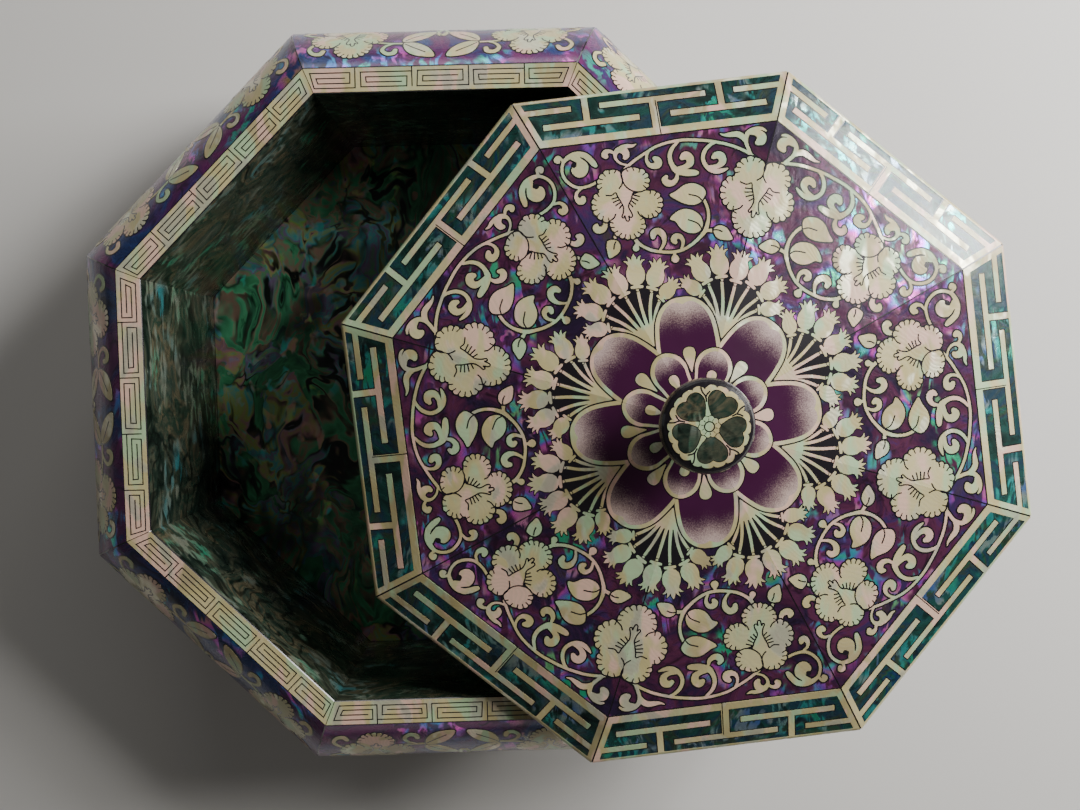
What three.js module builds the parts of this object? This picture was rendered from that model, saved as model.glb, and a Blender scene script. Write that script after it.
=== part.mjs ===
// An eight-sided lacquered box inlaid with shell, with its loose lid laid askew across the rim.
// Millimetres, +Z up. The origin is the middle of the underside. The box's flat sides face
// +X, -X, +Y, -Y and the four diagonals between them.
import * as THREE from "three";

// Box
const sides = 8;
const rimFlats = 260; // across the flats of the rim's outer edge
const rimBand = 9.6; // width of the flat inlaid band on top of the wall
const rimInnerEdge = 0.6; // softened edge between the band and the well
const wellDepth = 82;
const floorThickness = 8; // wood left under the well
const bellyBulge = 26; // how far each side swells out beyond the rim
const footHeight = 6;
const footInset = 5; // the foot stands this far inside the lower edge of the belly
const footEdge = 0.8; // softened lower edge of the foot
const bodyCornerRadius = 1.5; // softened upright edges between the sides
const wellCornerRadius = 0.6;

// Lid
const plugDepth = 3; // flat plug under the lid, which drops into the well when it is closed
const plugClearance = 0.8; // around the plug, in the well
const lidEdgeHeight = 3.2; // upright edge of the lid
const lidEdgeRadius = 1.6; // rounded upper corner of that edge
const lidCornerRadius = 2;
const borderWidth = 20.3; // sloping border, seen from above
const borderRise = 6.2;
const fieldSlope = 8; // degrees, the eight long facets inside the border
const ridgeRadius = 0.4; // softened ridges between the facets
const padMargin = 1; // flat top around the knob's foot

// Knob, from the bottom up
const knobFootRadius = 8;
const knobFootHeight = 2.4;
const knobNeckRadius = 6.2;
const knobNeckHeight = 10.4;
const knobFlareHeight = 3.2; // from the neck out to the widest point
const knobCapRadius = 17;
const knobRimWidth = 2.3; // rounded rim around the inlaid top
const knobRimHeight = 3.4;
const knobCrown = 0.9; // rise of the inlaid top

// How the lid lies on the open box
const lidShiftX = 93.4;
const lidShiftY = -11.7;
const lidTurn = 5.35; // degrees about +Z
const restGap = 0.3; // left between faces that touch

// Facets
const bellySteps = 16;
const cornerSteps = 3;
const quarterSteps = 4;
const knobSegments = 48;

const halfSide = Math.PI / sides;
const rimApothem = rimFlats / 2;
const wellApothem = rimApothem - rimBand;
const bodyHeight = floorThickness + wellDepth;

// One level of a softened eight-sided prism.
const level = (apothem, cornerRadius, z) => ({ apothem, cornerRadius, z });

// The points of a level in order around +Z, or the one point of a level on the axis.
function levelPoints({ apothem, cornerRadius, z }) {
  if (apothem === 0) return [[0, 0, z]];
  const points = [];
  const toArc = (apothem - cornerRadius) / Math.cos(halfSide);
  for (let side = 0; side < sides; side++) {
    const corner = (2 * side + 1) * halfSide;
    for (let step = 0; step <= cornerSteps; step++) {
      const turn = corner + halfSide * ((2 * step) / cornerSteps - 1);
      const x = toArc * Math.cos(corner) + cornerRadius * Math.cos(turn);
      const y = toArc * Math.sin(corner) + cornerRadius * Math.sin(turn);
      points.push([x, y, z]);
    }
  }
  return points;
}

// Joins levels into one closed skin. They run from the axis below, out over the surface and back
// to the axis above.
function skinOf(levels) {
  const positions = [];
  const index = [];
  const rings = levels.map((each) => {
    const points = levelPoints(each);
    const first = positions.length / 3;
    positions.push(...points.flat());
    return { first, count: points.length };
  });
  const at = (ring, i) => ring.first + (i % ring.count);
  for (let i = 1; i < rings.length; i++) {
    const low = rings[i - 1];
    const high = rings[i];
    for (let j = 0; j < Math.max(low.count, high.count); j++) {
      if (low.count > 1) index.push(at(low, j), at(low, j + 1), at(high, j + 1));
      if (high.count > 1) index.push(at(low, j), at(high, j + 1), at(high, j));
    }
  }
  const geometry = new THREE.BufferGeometry();
  geometry.setAttribute("position", new THREE.Float32BufferAttribute(positions, 3));
  geometry.setIndex(index);
  geometry.computeVertexNormals();
  return geometry;
}

// A quarter of an ellipse between two points of an outline. It leaves the first point upright
// and reaches the second one level, or the other way round.
function quarterRound(from, to, leavesUpright) {
  const points = [];
  for (let step = 1; step <= quarterSteps; step++) {
    const turn = (Math.PI / 2) * (step / quarterSteps);
    const early = Math.sin(turn);
    const late = 1 - Math.cos(turn);
    const across = leavesUpright ? late : early;
    const up = leavesUpright ? early : late;
    points.push([from[0] + (to[0] - from[0]) * across, from[1] + (to[1] - from[1]) * up]);
  }
  return points;
}

// The swelling side, a circular arc from the top of the foot up to the rim.
function bellyLevels() {
  const halfChord = (bodyHeight - footHeight) / 2;
  const arcRadius = (halfChord ** 2 + bellyBulge ** 2) / (2 * bellyBulge);
  const arcMiddle = rimApothem + bellyBulge - arcRadius;
  const halfSweep = Math.atan2(halfChord, rimApothem - arcMiddle);
  const levels = [];
  for (let step = 0; step <= bellySteps; step++) {
    const turn = halfSweep * ((2 * step) / bellySteps - 1);
    const apothem = arcMiddle + arcRadius * Math.cos(turn);
    const z = footHeight + halfChord + arcRadius * Math.sin(turn);
    levels.push(level(apothem, bodyCornerRadius, z));
  }
  return levels;
}

function boxGeometry() {
  const footApothem = rimApothem - footInset;
  return skinOf([
    level(0, 0, 0),
    level(footApothem - footEdge, bodyCornerRadius, 0),
    level(footApothem, bodyCornerRadius, footEdge),
    level(footApothem, bodyCornerRadius, footHeight),
    ...bellyLevels(),
    level(wellApothem + rimInnerEdge, wellCornerRadius, bodyHeight),
    level(wellApothem, wellCornerRadius, bodyHeight - rimInnerEdge),
    level(wellApothem, wellCornerRadius, floorThickness),
    level(0, 0, floorThickness),
  ]);
}

// The lid's own zero is the face that meets the rim when it is closed.
const lidApothem = rimApothem;
const fieldApothem = lidApothem - borderWidth;
const padApothem = knobFootRadius + padMargin;
const fieldFoot = lidEdgeHeight + borderRise;
const fieldRise = (fieldApothem - padApothem) * Math.tan(THREE.MathUtils.degToRad(fieldSlope));
const padHeight = fieldFoot + fieldRise;

function lidGeometry() {
  const plugApothem = wellApothem - plugClearance;
  const edgeFoot = [lidApothem, lidEdgeHeight - lidEdgeRadius];
  const edgeTop = [lidApothem - lidEdgeRadius, lidEdgeHeight];
  const edge = [edgeFoot, ...quarterRound(edgeFoot, edgeTop, true)];
  return skinOf([
    level(0, 0, -plugDepth),
    level(plugApothem, wellCornerRadius, -plugDepth),
    level(plugApothem, wellCornerRadius, 0),
    level(lidApothem, lidCornerRadius, 0),
    ...edge.map(([apothem, z]) => level(apothem, lidCornerRadius, z)),
    level(fieldApothem, ridgeRadius, fieldFoot),
    level(padApothem, ridgeRadius, padHeight),
    level(0, 0, padHeight),
  ]);
}

// A turned piece about +Z. Its own zero is the flat top of the lid that it stands on.
function knobGeometry() {
  const neckTop = knobFootHeight + knobNeckHeight;
  const widest = neckTop + knobFlareHeight;
  const plateEdge = widest + knobRimHeight;
  const footTop = [knobFootRadius, restGap];
  const neckFoot = [knobNeckRadius, knobFootHeight];
  const neckHead = [knobNeckRadius, neckTop];
  const capEdge = [knobCapRadius, widest];
  const plate = [knobCapRadius - knobRimWidth, plateEdge];
  const crown = [0, plateEdge + knobCrown];
  const outline = [
    [0, restGap],
    footTop,
    ...quarterRound(footTop, neckFoot, true),
    neckHead,
    ...quarterRound(neckHead, capEdge, true),
    ...quarterRound(capEdge, plate, true),
    ...quarterRound(crown, plate, false).reverse().slice(1),
    crown,
  ];
  const points = outline.map(([radius, height]) => new THREE.Vector2(radius, height));
  return new THREE.LatheGeometry(points, knobSegments).rotateX(Math.PI / 2);
}

const shellUnderLacquer = new THREE.MeshStandardMaterial({
  color: 0x5b3f66,
  roughness: 0.15,
  metalness: 0.2,
});
const blackLacquer = new THREE.MeshStandardMaterial({
  color: 0x0b0a0c,
  roughness: 0.1,
  metalness: 0,
});

function piece(name, geometry, material) {
  const mesh = new THREE.Mesh(geometry, material);
  mesh.name = name;
  return mesh;
}

const boxBody = piece("box_body", boxGeometry(), shellUnderLacquer);

const lid = piece("lid", lidGeometry(), shellUnderLacquer);
lid.position.set(lidShiftX, lidShiftY, bodyHeight + plugDepth + restGap);
lid.rotation.z = THREE.MathUtils.degToRad(lidTurn);

const knob = piece("knob", knobGeometry(), blackLacquer);
knob.position.z = padHeight;
lid.add(knob);

const shellBox = new THREE.Group();
shellBox.add(boxBody, lid);

export default shellBox;
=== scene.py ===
"""Octagonal lacquer box with shell inlay, its lid lifted off and laid across the rim."""

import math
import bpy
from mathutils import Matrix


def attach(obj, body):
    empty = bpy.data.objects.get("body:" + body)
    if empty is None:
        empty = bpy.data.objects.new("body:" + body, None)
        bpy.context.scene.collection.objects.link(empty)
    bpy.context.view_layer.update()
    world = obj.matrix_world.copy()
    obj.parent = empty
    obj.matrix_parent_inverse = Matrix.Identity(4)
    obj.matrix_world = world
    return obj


bl_info = {
    "name": "Shell-inlaid octagonal box",
    "version": (1, 0, 0),
    "blender": (4, 5, 0),
    "location": "View3D > Sidebar > Shell Box",
    "description": "Dresses the frame of an octagonal lacquer box in its shell inlay and lacquer",
    "category": "Add Mesh",
}

import bmesh
import bpy
import numpy as np
from bpy.props import FloatProperty, FloatVectorProperty, IntProperty, PointerProperty
from mathutils import Matrix, Vector
from mathutils.geometry import delaunay_2d_cdt

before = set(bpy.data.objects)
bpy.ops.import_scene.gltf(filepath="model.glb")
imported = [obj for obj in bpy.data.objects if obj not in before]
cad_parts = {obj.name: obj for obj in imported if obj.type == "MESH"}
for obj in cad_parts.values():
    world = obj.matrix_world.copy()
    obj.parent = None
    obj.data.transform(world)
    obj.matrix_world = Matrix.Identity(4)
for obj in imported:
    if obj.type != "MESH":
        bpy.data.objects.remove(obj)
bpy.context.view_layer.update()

# All drawing is in millimetres and becomes metres when it is placed.
MM = 0.001
SIDES = 8
HALF_TAN = math.tan(math.pi / SIDES)
HALF_SIN = math.sin(math.pi / SIDES)
HALF_COS = math.cos(math.pi / SIDES)

# The box: its rim, well and the arc of its belly, as the frame has them.
RIM_OUTER = 130.0
RIM_INNER = 120.4
RIM_TOP = 90.0
FLOOR_TOP = 8.0
FOOT = 6.0
HALF_CHORD = 42.0
ARC_RADIUS = 46.92
ARC_MIDDLE = 109.08
ARC_SWEEP = math.asin(HALF_CHORD / ARC_RADIUS)
ARC_LENGTH = 2 * ARC_SWEEP * ARC_RADIUS
ARC_STEPS = 16

# The lid: a sloping field, a steeper border and a rounded edge.
LID_OUTER = 130.0
LID_EDGE_RADIUS = 1.6
LID_EDGE_START = LID_OUTER - LID_EDGE_RADIUS
LID_EDGE_HEIGHT = 3.2
FIELD_OUTER = 109.7
FIELD_EDGE_HEIGHT = 9.4
FIELD_SLOPE = math.radians(8)
PAD = 9.0
PAD_HEIGHT = 23.55
RIDGE_GAP = 0.28
LID_TURN = Matrix.Rotation(math.radians(5.35), 4, "Z")
LID_PLACE = Matrix.Translation((0.0934, -0.0117, 0.0933)) @ LID_TURN

# How deep the plates reach into the frame under them.
SUNK = -0.05
BELLY_SUNK = -0.1
KNOB_SUNK = -0.3


# Sizes and colours that a user may change.


class BoxSizes(bpy.types.PropertyGroup):
    """Sizes of the inlay."""

    joint: FloatProperty(
        name="Joint",
        description="Width of the dark lacquer joint round each piece of shell",
        default=0.0006,
        min=0.0,
        max=0.001,
        unit="LENGTH",
    )
    shell_height: FloatProperty(
        name="Shell height",
        description="How far the pale shell stands over the frame's surface",
        default=0.00018,
        min=0.00005,
        max=0.0005,
        unit="LENGTH",
    )
    line_width: FloatProperty(
        name="Line width",
        description="Width of the lines cut in the shell",
        default=0.00036,
        min=0.0001,
        max=0.001,
        unit="LENGTH",
    )
    seed: IntProperty(
        name="Tone seed",
        description="Seed for the tone of each piece of shell",
        default=7,
        min=0,
    )


class BoxColours(bpy.types.PropertyGroup):
    """Colours of the lacquer and the shells."""

    lacquer: FloatVectorProperty(
        name="Lacquer",
        description="Colour of the black lacquer",
        default=(0.006, 0.005, 0.007),
        min=0.0,
        max=1.0,
        subtype="COLOR",
    )
    pearl: FloatVectorProperty(
        name="Pearl",
        description="Main colour of the pale shell",
        default=(0.47, 0.4, 0.185),
        min=0.0,
        max=1.0,
        subtype="COLOR",
    )
    violet: FloatVectorProperty(
        name="Violet shell",
        description="Main colour of the dyed violet ground",
        default=(0.055, 0.013, 0.042),
        min=0.0,
        max=1.0,
        subtype="COLOR",
    )
    green: FloatVectorProperty(
        name="Green shell",
        description="Main colour of the green ground of the border",
        default=(0.012, 0.06, 0.05),
        min=0.0,
        max=1.0,
        subtype="COLOR",
    )
    petal: FloatVectorProperty(
        name="Petal",
        description="Deep colour at the root of the middle flower's petals",
        default=(0.03, 0.0045, 0.021),
        min=0.0,
        max=1.0,
        subtype="COLOR",
    )


def sizes():
    return bpy.context.scene.shell_box_sizes


def colours():
    return bpy.context.scene.shell_box_colours


# Shader maths: a wire is a node's output, and Python arithmetic on it adds Math nodes.


class Wire:
    """A node's output socket that Python arithmetic can be done on."""

    def __init__(self, finish, socket):
        self.finish = finish
        self.socket = socket

    def _math(self, operation, *values):
        inputs = dict(enumerate(values))
        return self.finish.node("ShaderNodeMath", {"operation": operation}, inputs)

    def __add__(self, other):
        return self._math("ADD", self, other)

    __radd__ = __add__

    def __sub__(self, other):
        return self._math("SUBTRACT", self, other)

    def __rsub__(self, other):
        return self._math("SUBTRACT", other, self)

    def __mul__(self, other):
        return self._math("MULTIPLY", self, other)

    __rmul__ = __mul__

    def __pow__(self, other):
        return self._math("POWER", self, other)

    def above(self, low, high):
        """0 below low, 1 above high and smooth between."""
        settings = {"interpolation_type": "SMOOTHSTEP"}
        inputs = {"Value": self, "From Min": low, "From Max": high, "To Min": 0.0, "To Max": 1.0}
        return self.finish.node("ShaderNodeMapRange", settings, inputs)

    def absolute(self):
        return self._math("ABSOLUTE", self)

    def sine(self):
        return self._math("SINE", self)

    def smaller(self, other):
        return self._math("MINIMUM", self, other)


class Finish:
    """A material in the making, with one Principled shader at its end."""

    def __init__(self, name):
        self.material = bpy.data.materials.new(name)
        self.material.use_nodes = True
        self.tree = self.material.node_tree
        self.tree.nodes.clear()
        self.shader = self.tree.nodes.new("ShaderNodeBsdfPrincipled")
        output = self.tree.nodes.new("ShaderNodeOutputMaterial")
        self.tree.links.new(self.shader.outputs[0], output.inputs[0])

    def node(self, kind, settings=None, inputs=None, out=0):
        """Add a node: its settings first, then the values or wires of its sockets."""
        made = self.tree.nodes.new(kind)
        for name, value in (settings or {}).items():
            if name == "stops":
                self.ramp_stops(made.color_ramp, value)
            else:
                setattr(made, name, value)
        for name, value in (inputs or {}).items():
            self.feed(made.inputs[name], value)
        return Wire(self, made.outputs[out])

    def ramp_stops(self, ramp, stops):
        ramp.elements[0].position = stops[0][0]
        ramp.elements[0].color = (*stops[0][1], 1.0)
        ramp.elements[1].position = stops[-1][0]
        ramp.elements[1].color = (*stops[-1][1], 1.0)
        for at, colour in stops[1:-1]:
            ramp.elements.new(at).color = (*colour, 1.0)

    def feed(self, socket, value):
        if isinstance(value, Wire):
            self.tree.links.new(value.socket, socket)
        elif socket.type == "RGBA" and len(value) == 3:
            socket.default_value = (*value, 1.0)
        else:
            socket.default_value = value

    def set(self, **values):
        """Feed the Principled shader's sockets."""
        for name, value in values.items():
            self.feed(self.shader.inputs[name.replace("_", " ")], value)

    def coords(self):
        return self.node("ShaderNodeTexCoord", out=3)

    def mix(self, factor, a, b, blend="MIX"):
        settings = {"data_type": "RGBA", "blend_type": blend}
        return self.node("ShaderNodeMix", settings, {0: factor, 6: a, 7: b}, out=2)

    def noise(self, at, scale, detail=2.0, roughness=0.5, distortion=0.0, out=0):
        inputs = {"Vector": at, "Scale": scale, "Detail": detail}
        inputs.update({"Roughness": roughness, "Distortion": distortion})
        return self.node("ShaderNodeTexNoise", None, inputs, out=out)

    def cells(self, at, scale, feature="F1", out=0):
        inputs = {"Vector": at, "Scale": scale}
        return self.node("ShaderNodeTexVoronoi", {"feature": feature}, inputs, out=out)

    def ramp(self, value, stops):
        return self.node("ShaderNodeValToRGB", {"stops": stops}, {0: value})

    def tone(self):
        """The number that each piece of shell got when it was repeated round the axis."""
        return self.node("ShaderNodeAttribute", {"attribute_name": "tone"}, out=2)

    def vector(self, operation, *values):
        return self.node("ShaderNodeVectorMath", {"operation": operation}, dict(enumerate(values)))

    def bend(self, at, scale, amount):
        """Coordinates pushed about by a soft noise, so that bands laid on them flow."""
        push = self.vector("SUBTRACT", self.noise(at, scale, out=1), (0.5, 0.5, 0.5))
        far = self.vector("MULTIPLY", push, (amount, amount, amount))
        return self.vector("ADD", at, far)

    def stretch(self, at, factors):
        return self.vector("MULTIPLY", at, factors)

    def bump(self, height, distance, strength=1.0):
        inputs = {"Height": height, "Distance": distance, "Strength": strength}
        self.set(Normal=self.node("ShaderNodeBump", None, inputs))


# The clear polished lacquer over everything, which lies thinner on the shell.
GLOSS = {"Coat_Roughness": 0.1, "Coat_IOR": 1.4, "IOR": 1.4}
SHELL_COAT = 0.45
FULL_COAT = 1.0


def start(name, coat=SHELL_COAT):
    """A finish under the clear lacquer."""
    f = Finish(name)
    f.set(Coat_Weight=coat, **GLOSS)
    return f


def black_lacquer():
    """Deep black lacquer, polished, with faint brush drag and fine dust in it."""
    f = start("black_lacquer", FULL_COAT)
    at = f.coords()
    cloud = f.noise(at, 38.0, 3.0)
    dust = f.noise(at, 900.0, 2.0).above(0.68, 0.8)
    deep = f.mix(cloud, colours().lacquer[:], (0.014, 0.011, 0.015))
    f.set(Base_Color=f.mix(dust * 0.35, deep, (0.05, 0.045, 0.05)))
    f.set(Roughness=0.2 + cloud * 0.12)
    f.bump(f.noise(at, 90.0, 2.0) + dust * 0.2, 0.00012, 0.35)
    return f.material


def pearl():
    """Pale shell: cream with pink and green patches that are partly the shell's own tint and partly
    painted iridescent sheen, painted pale glints, fine growth lines, each piece its own tone.
    """
    f = start("pearl_shell")
    at = f.coords()
    tone = f.tone()
    cloud = f.noise(f.bend(at, 30.0, 0.02), 30.0, 2.0)
    base = f.ramp(
        tone * 0.4 + (cloud - 0.5) * 1.6 + 0.35,
        [
            (0.2, (0.34, 0.28, 0.15)),
            (0.45, colours().pearl[:]),
            (0.65, (0.54, 0.47, 0.25)),
            (0.85, (0.45, 0.45, 0.25)),
            (1.0, (0.55, 0.47, 0.3)),
        ],
    )
    # Pink and green patches, partly the shell's own tint and partly painted sheen, that lie slantwise
    # in each piece, the way the shell was cut.
    lean = f.bend(f.stretch(at, (1.0, 0.5, 1.0)), 50.0, 0.014)
    lights = f.noise(lean, 95.0, 2.0) + (tone - 0.5) * 0.07
    pink = f.mix(lights.above(0.53, 0.63) * 0.8, base, (0.73, 0.45, 0.38))
    green = f.mix((1.0 - lights).above(0.53, 0.65) * 0.8, pink, (0.35, 0.55, 0.33))
    # Painted glints: pale highlight spots mixed into the shell's colour, which also raise its metallic.
    glint = f.noise(lean, 120.0, 2.0).above(0.56, 0.66)
    pale = f.mix(glint * 0.65, green, (0.84, 0.84, 0.66))
    wave = f.node(
        "ShaderNodeTexWave",
        {"wave_type": "BANDS", "bands_direction": "DIAGONAL"},
        {"Vector": f.bend(at, 45.0, 0.03), "Scale": 190.0, "Distortion": 3.0, "Detail": 2.0},
    )
    rings = f.node("ShaderNodeSeparateColor", None, {0: wave})
    f.set(Base_Color=f.mix(rings * 0.18, pale, (0.34, 0.3, 0.21)))
    f.set(Roughness=0.32 + rings * 0.12, Metallic=glint * 0.5 + 0.1)
    f.bump(f.noise(at, 110.0, 2.0) + rings * 0.25, 0.00012, 0.4)
    return f.material


def abalone(name, stops, streak, fleck_and_glint_strength, flecks, scale=1.0, contours=0.0, along=(1.0, 1.0, 1.0)):
    """Dyed or natural abalone: flowing bands, dark contours and bright flecks of several colours,
    partly the shell's own flecks and partly painted glints.
    """
    f = start(name)
    at = f.stretch(f.coords(), along)
    tone = f.tone()
    flow = f.bend(at, 22.0 * scale, 0.05 / scale)
    bands = f.noise(flow, 34.0 * scale, 4.0, 0.6, 0.8)
    base = f.ramp(bands + (tone - 0.5) * 0.1, stops)
    swirl = f.noise(f.bend(flow, 90.0 * scale, 0.012 / scale), 120.0 * scale, 3.0, 0.6, 1.5)
    dark = f.mix(swirl.above(0.52, 0.68) * 0.7, base, streak)
    cloud = f.noise(flow, 17.0 * scale, 2.0, 0.55, 0.4)
    ring = (cloud * 75.0 + swirl * 2.5).sine()
    near = f.noise(at, 20.0 * scale, 1.0).above(0.42, 0.58)
    dark = f.mix(ring.above(0.55, 0.95) * near * contours, dark, streak)
    # Bright coloured flecks, partly the shell's own and partly painted glints, mixed into its colour
    # below.
    where = f.noise(f.bend(at, 40.0 * scale, 0.02), 50.0 * scale, 2.0).above(0.48, 0.66)
    sway = f.bend(f.stretch(at, (1.0, 0.4, 1.0)), 60.0, 0.022)
    fine = f.noise(sway, 210.0 * scale, 2.0, 0.55)
    fleck_and_painted_glint = where * fine.above(0.46, 0.6) * fleck_and_glint_strength
    bright = f.ramp(f.noise(flow, 42.0 * scale, 2.0), flecks)
    f.set(Base_Color=f.mix(fleck_and_painted_glint, dark, bright))
    f.set(Roughness=0.2 + swirl * 0.16, Metallic=0.2 + fleck_and_painted_glint * 0.7)
    f.bump(f.noise(at, 130.0, 2.0) + swirl * 0.4 + fine * 0.3, 0.0004, 0.5)
    return f.material


def violet_shell():
    """The ground of the lid's field, abalone dyed violet."""
    stops = [
        (0.26, (0.01, 0.007, 0.016)),
        (0.37, (0.024, 0.012, 0.04)),
        (0.44, colours().violet[:]),
        (0.5, (0.085, 0.02, 0.05)),
        (0.55, (0.07, 0.018, 0.075)),
        (0.61, (0.035, 0.02, 0.08)),
        (0.68, (0.05, 0.03, 0.035)),
        (0.78, (0.015, 0.045, 0.06)),
    ]
    # Colours of the bright flecks: partly the shell's own, partly painted glints.
    flecks = [
        (0.38, (0.05, 0.8, 0.4)),
        (0.43, (0.08, 0.6, 0.85)),
        (0.47, (0.35, 0.15, 0.85)),
        (0.51, (0.9, 0.12, 0.66)),
        (0.55, (0.95, 0.42, 0.6)),
        (0.59, (0.4, 0.25, 0.85)),
        (0.63, (0.08, 0.75, 0.75)),
        (0.68, (0.3, 0.85, 0.35)),
    ]
    return abalone("violet_shell", stops, (0.01, 0.004, 0.009), 0.95, flecks, 1.25, 0.25)


def belly_shell():
    """The belly's ground: the same dyed abalone with more blue in it."""
    stops = [
        (0.25, (0.008, 0.01, 0.035)),
        (0.4, (0.02, 0.045, 0.16)),
        (0.5, (0.07, 0.016, 0.09)),
        (0.6, (0.13, 0.02, 0.1)),
        (0.75, (0.012, 0.06, 0.08)),
    ]
    # Colours of the bright flecks: partly the shell's own, partly painted glints.
    flecks = [
        (0.36, (0.06, 0.65, 0.5)),
        (0.45, (0.1, 0.3, 0.85)),
        (0.53, (0.85, 0.12, 0.7)),
        (0.64, (0.7, 0.5, 0.2)),
        (0.74, (0.2, 0.6, 0.3)),
    ]
    return abalone("belly_shell", stops, (0.008, 0.006, 0.016), 0.9, flecks)


def green_shell():
    """The ground of the lid's border, green abalone."""
    stops = [
        (0.25, (0.002, 0.005, 0.006)),
        (0.38, (0.008, 0.03, 0.024)),
        (0.46, colours().green[:]),
        (0.53, (0.012, 0.035, 0.06)),
        (0.58, (0.03, 0.045, 0.03)),
        (0.63, (0.012, 0.07, 0.04)),
        (0.69, (0.01, 0.03, 0.09)),
        (0.78, (0.04, 0.11, 0.06)),
    ]
    # Colours of the bright flecks: partly the shell's own, partly painted glints.
    flecks = [
        (0.3, (0.04, 0.55, 0.28)),
        (0.46, (0.05, 0.5, 0.5)),
        (0.56, (0.4, 0.5, 0.45)),
        (0.68, (0.12, 0.25, 0.65)),
    ]
    return abalone("green_shell", stops, (0.002, 0.005, 0.006), 0.9, flecks, 1.3, 0.3)


def lining_shell():
    """The floor's lining: green, teal and rust abalone in ringed swirls with black contours."""
    f = start("lining_shell")
    at = f.stretch(f.coords(), (1.0, 0.75, 1.0))
    flow = f.bend(f.bend(at, 26.0, 0.05), 85.0, 0.02)
    edge = f.cells(flow, 58.0, "DISTANCE_TO_EDGE")
    cell = f.node("ShaderNodeSeparateColor", None, {0: f.cells(flow, 58.0, out=1)})
    cloud = f.noise(flow, 60.0, 4.0, 0.62)
    soft = f.noise(flow, 42.0, 1.5, 0.5)
    rings = (edge * 13.0 + soft * 19.0).sine()
    base = f.ramp(
        cell * 0.4 + cloud * 0.6 + rings * 0.05,
        [
            (0.2, (0.02, 0.07, 0.06)),
            (0.32, (0.05, 0.27, 0.12)),
            (0.39, (0.08, 0.4, 0.2)),
            (0.44, (0.36, 0.2, 0.15)),
            (0.49, (0.1, 0.33, 0.16)),
            (0.54, (0.24, 0.14, 0.3)),
            (0.58, (0.08, 0.4, 0.42)),
            (0.64, (0.34, 0.42, 0.12)),
            (0.7, (0.46, 0.22, 0.24)),
            (0.82, (0.2, 0.34, 0.5)),
        ],
    )
    black = (0.004, 0.008, 0.007)
    deep = f.noise(at, 34.0, 3.0, 0.6)
    base = f.mix(rings.above(0.1, 0.95) * deep.above(0.36, 0.6), base, black)
    base = f.mix((1.0 - edge.above(0.0, 0.1)) * f.noise(at, 70.0).above(0.4, 0.6) * 0.8, base, black)
    base = f.mix((1.0 - deep.above(0.32, 0.52)) * 0.8, base, black)
    # Sparks: bright coloured flecks, partly the shell's own and partly painted glints.
    spark = f.noise(f.bend(at, 90.0, 0.012), 120.0, 2.0).above(0.54, 0.66)
    spark = spark * f.noise(at, 28.0, 1.0).above(0.42, 0.58) * (1.0 - rings.above(0.2, 0.8))
    bright = f.ramp(
        f.noise(flow, 50.0, 2.0),
        [
            (0.32, (0.05, 0.8, 0.35)),
            (0.44, (0.1, 0.7, 0.75)),
            (0.52, (0.75, 0.35, 0.3)),
            (0.6, (0.4, 0.85, 0.2)),
            (0.72, (0.2, 0.4, 0.9)),
        ],
    )
    f.set(Base_Color=f.mix(spark * 0.85, base, bright))
    f.set(Roughness=0.22 + cloud * 0.15, Metallic=0.2 + spark * 0.5)
    f.bump(f.noise(at, 100.0, 2.0) + rings * 0.1, 0.00015, 0.4)
    return f.material


def wall_shell():
    """The walls' lining: grey-green abalone, its clouds drawn out along the wall."""
    stops = [
        (0.3, (0.0031, 0.007, 0.0055)),
        (0.4, (0.016, 0.028, 0.02)),
        (0.47, (0.058, 0.062, 0.041)),
        (0.52, (0.012, 0.033, 0.023)),
        (0.58, (0.1, 0.086, 0.051)),
        (0.64, (0.023, 0.041, 0.031)),
        (0.75, (0.13, 0.13, 0.094)),
    ]
    # Colours of the bright flecks: partly the shell's own, partly painted glints.
    flecks = [
        (0.3, (0.06, 0.6, 0.35)),
        (0.5, (0.45, 0.47, 0.36)),
        (0.7, (0.08, 0.45, 0.5)),
    ]
    along = (0.7, 0.7, 1.0)
    return abalone("wall_shell", stops, (0.003, 0.005, 0.004), 0.75, flecks, 1.3, 0.8, along)


def petal_shell():
    """The middle flower's petals: deep violet at the root, stippled out to pearl near the tip."""
    f = start("petal_shell")
    at = f.coords()
    place = f.node("ShaderNodeUVMap", {"uv_map": "drawn"})
    across = f.node("ShaderNodeSeparateXYZ", None, {0: place})
    along = f.node("ShaderNodeSeparateXYZ", None, {0: place}, out=1)
    # A dip in the middle of the fade gives its heart shape.
    dip = (1.0 - (across.absolute() * 2.6).smaller(1.0)) * 0.12
    side = across * across * across * across * 0.2
    grains = f.noise(at, 2300.0, 2.0, 0.7)
    cloud = f.noise(at, 180.0, 2.0)
    fade = along + dip + side + (cloud - 0.5) * 0.3 + (grains - 0.5) * 1.2
    fade = fade.above(-0.2, 1.2) ** 1.7
    shell = f.mix(f.noise(at, 60.0, 2.0), (0.46, 0.35, 0.28), (0.52, 0.39, 0.38))
    deep = f.mix(f.noise(at, 45.0, 2.0), colours().petal[:], (0.052, 0.008, 0.042))
    f.set(Base_Color=f.mix(fade, deep, shell))
    f.set(Roughness=0.2 + f.noise(at, 200.0) * 0.06)
    f.bump(f.noise(at, 110.0, 2.0), 0.00012, 0.4)
    return f.material


def floor_finish():
    """The plain pale floor of the studio."""
    f = Finish("studio_floor")
    cloud = f.noise(f.coords(), 3.0, 3.0)
    f.set(Base_Color=f.mix(cloud, (0.6, 0.585, 0.56), (0.64, 0.625, 0.6)), Roughness=0.7)
    return f.material


MAKERS = {
    "black": black_lacquer,
    "pearl": pearl,
    "violet": violet_shell,
    "belly": belly_shell,
    "green": green_shell,
    "lining": lining_shell,
    "wall": wall_shell,
    "petal": petal_shell,
    "stage": floor_finish,
}
FINISHES = {}


def finish(name):
    """Make each material once."""
    if name not in FINISHES:
        FINISHES[name] = MAKERS[name]()
    return FINISHES[name]


# Drawing: a sheet keeps, for each finish, the distance of every grid point to that finish's edge.


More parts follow.
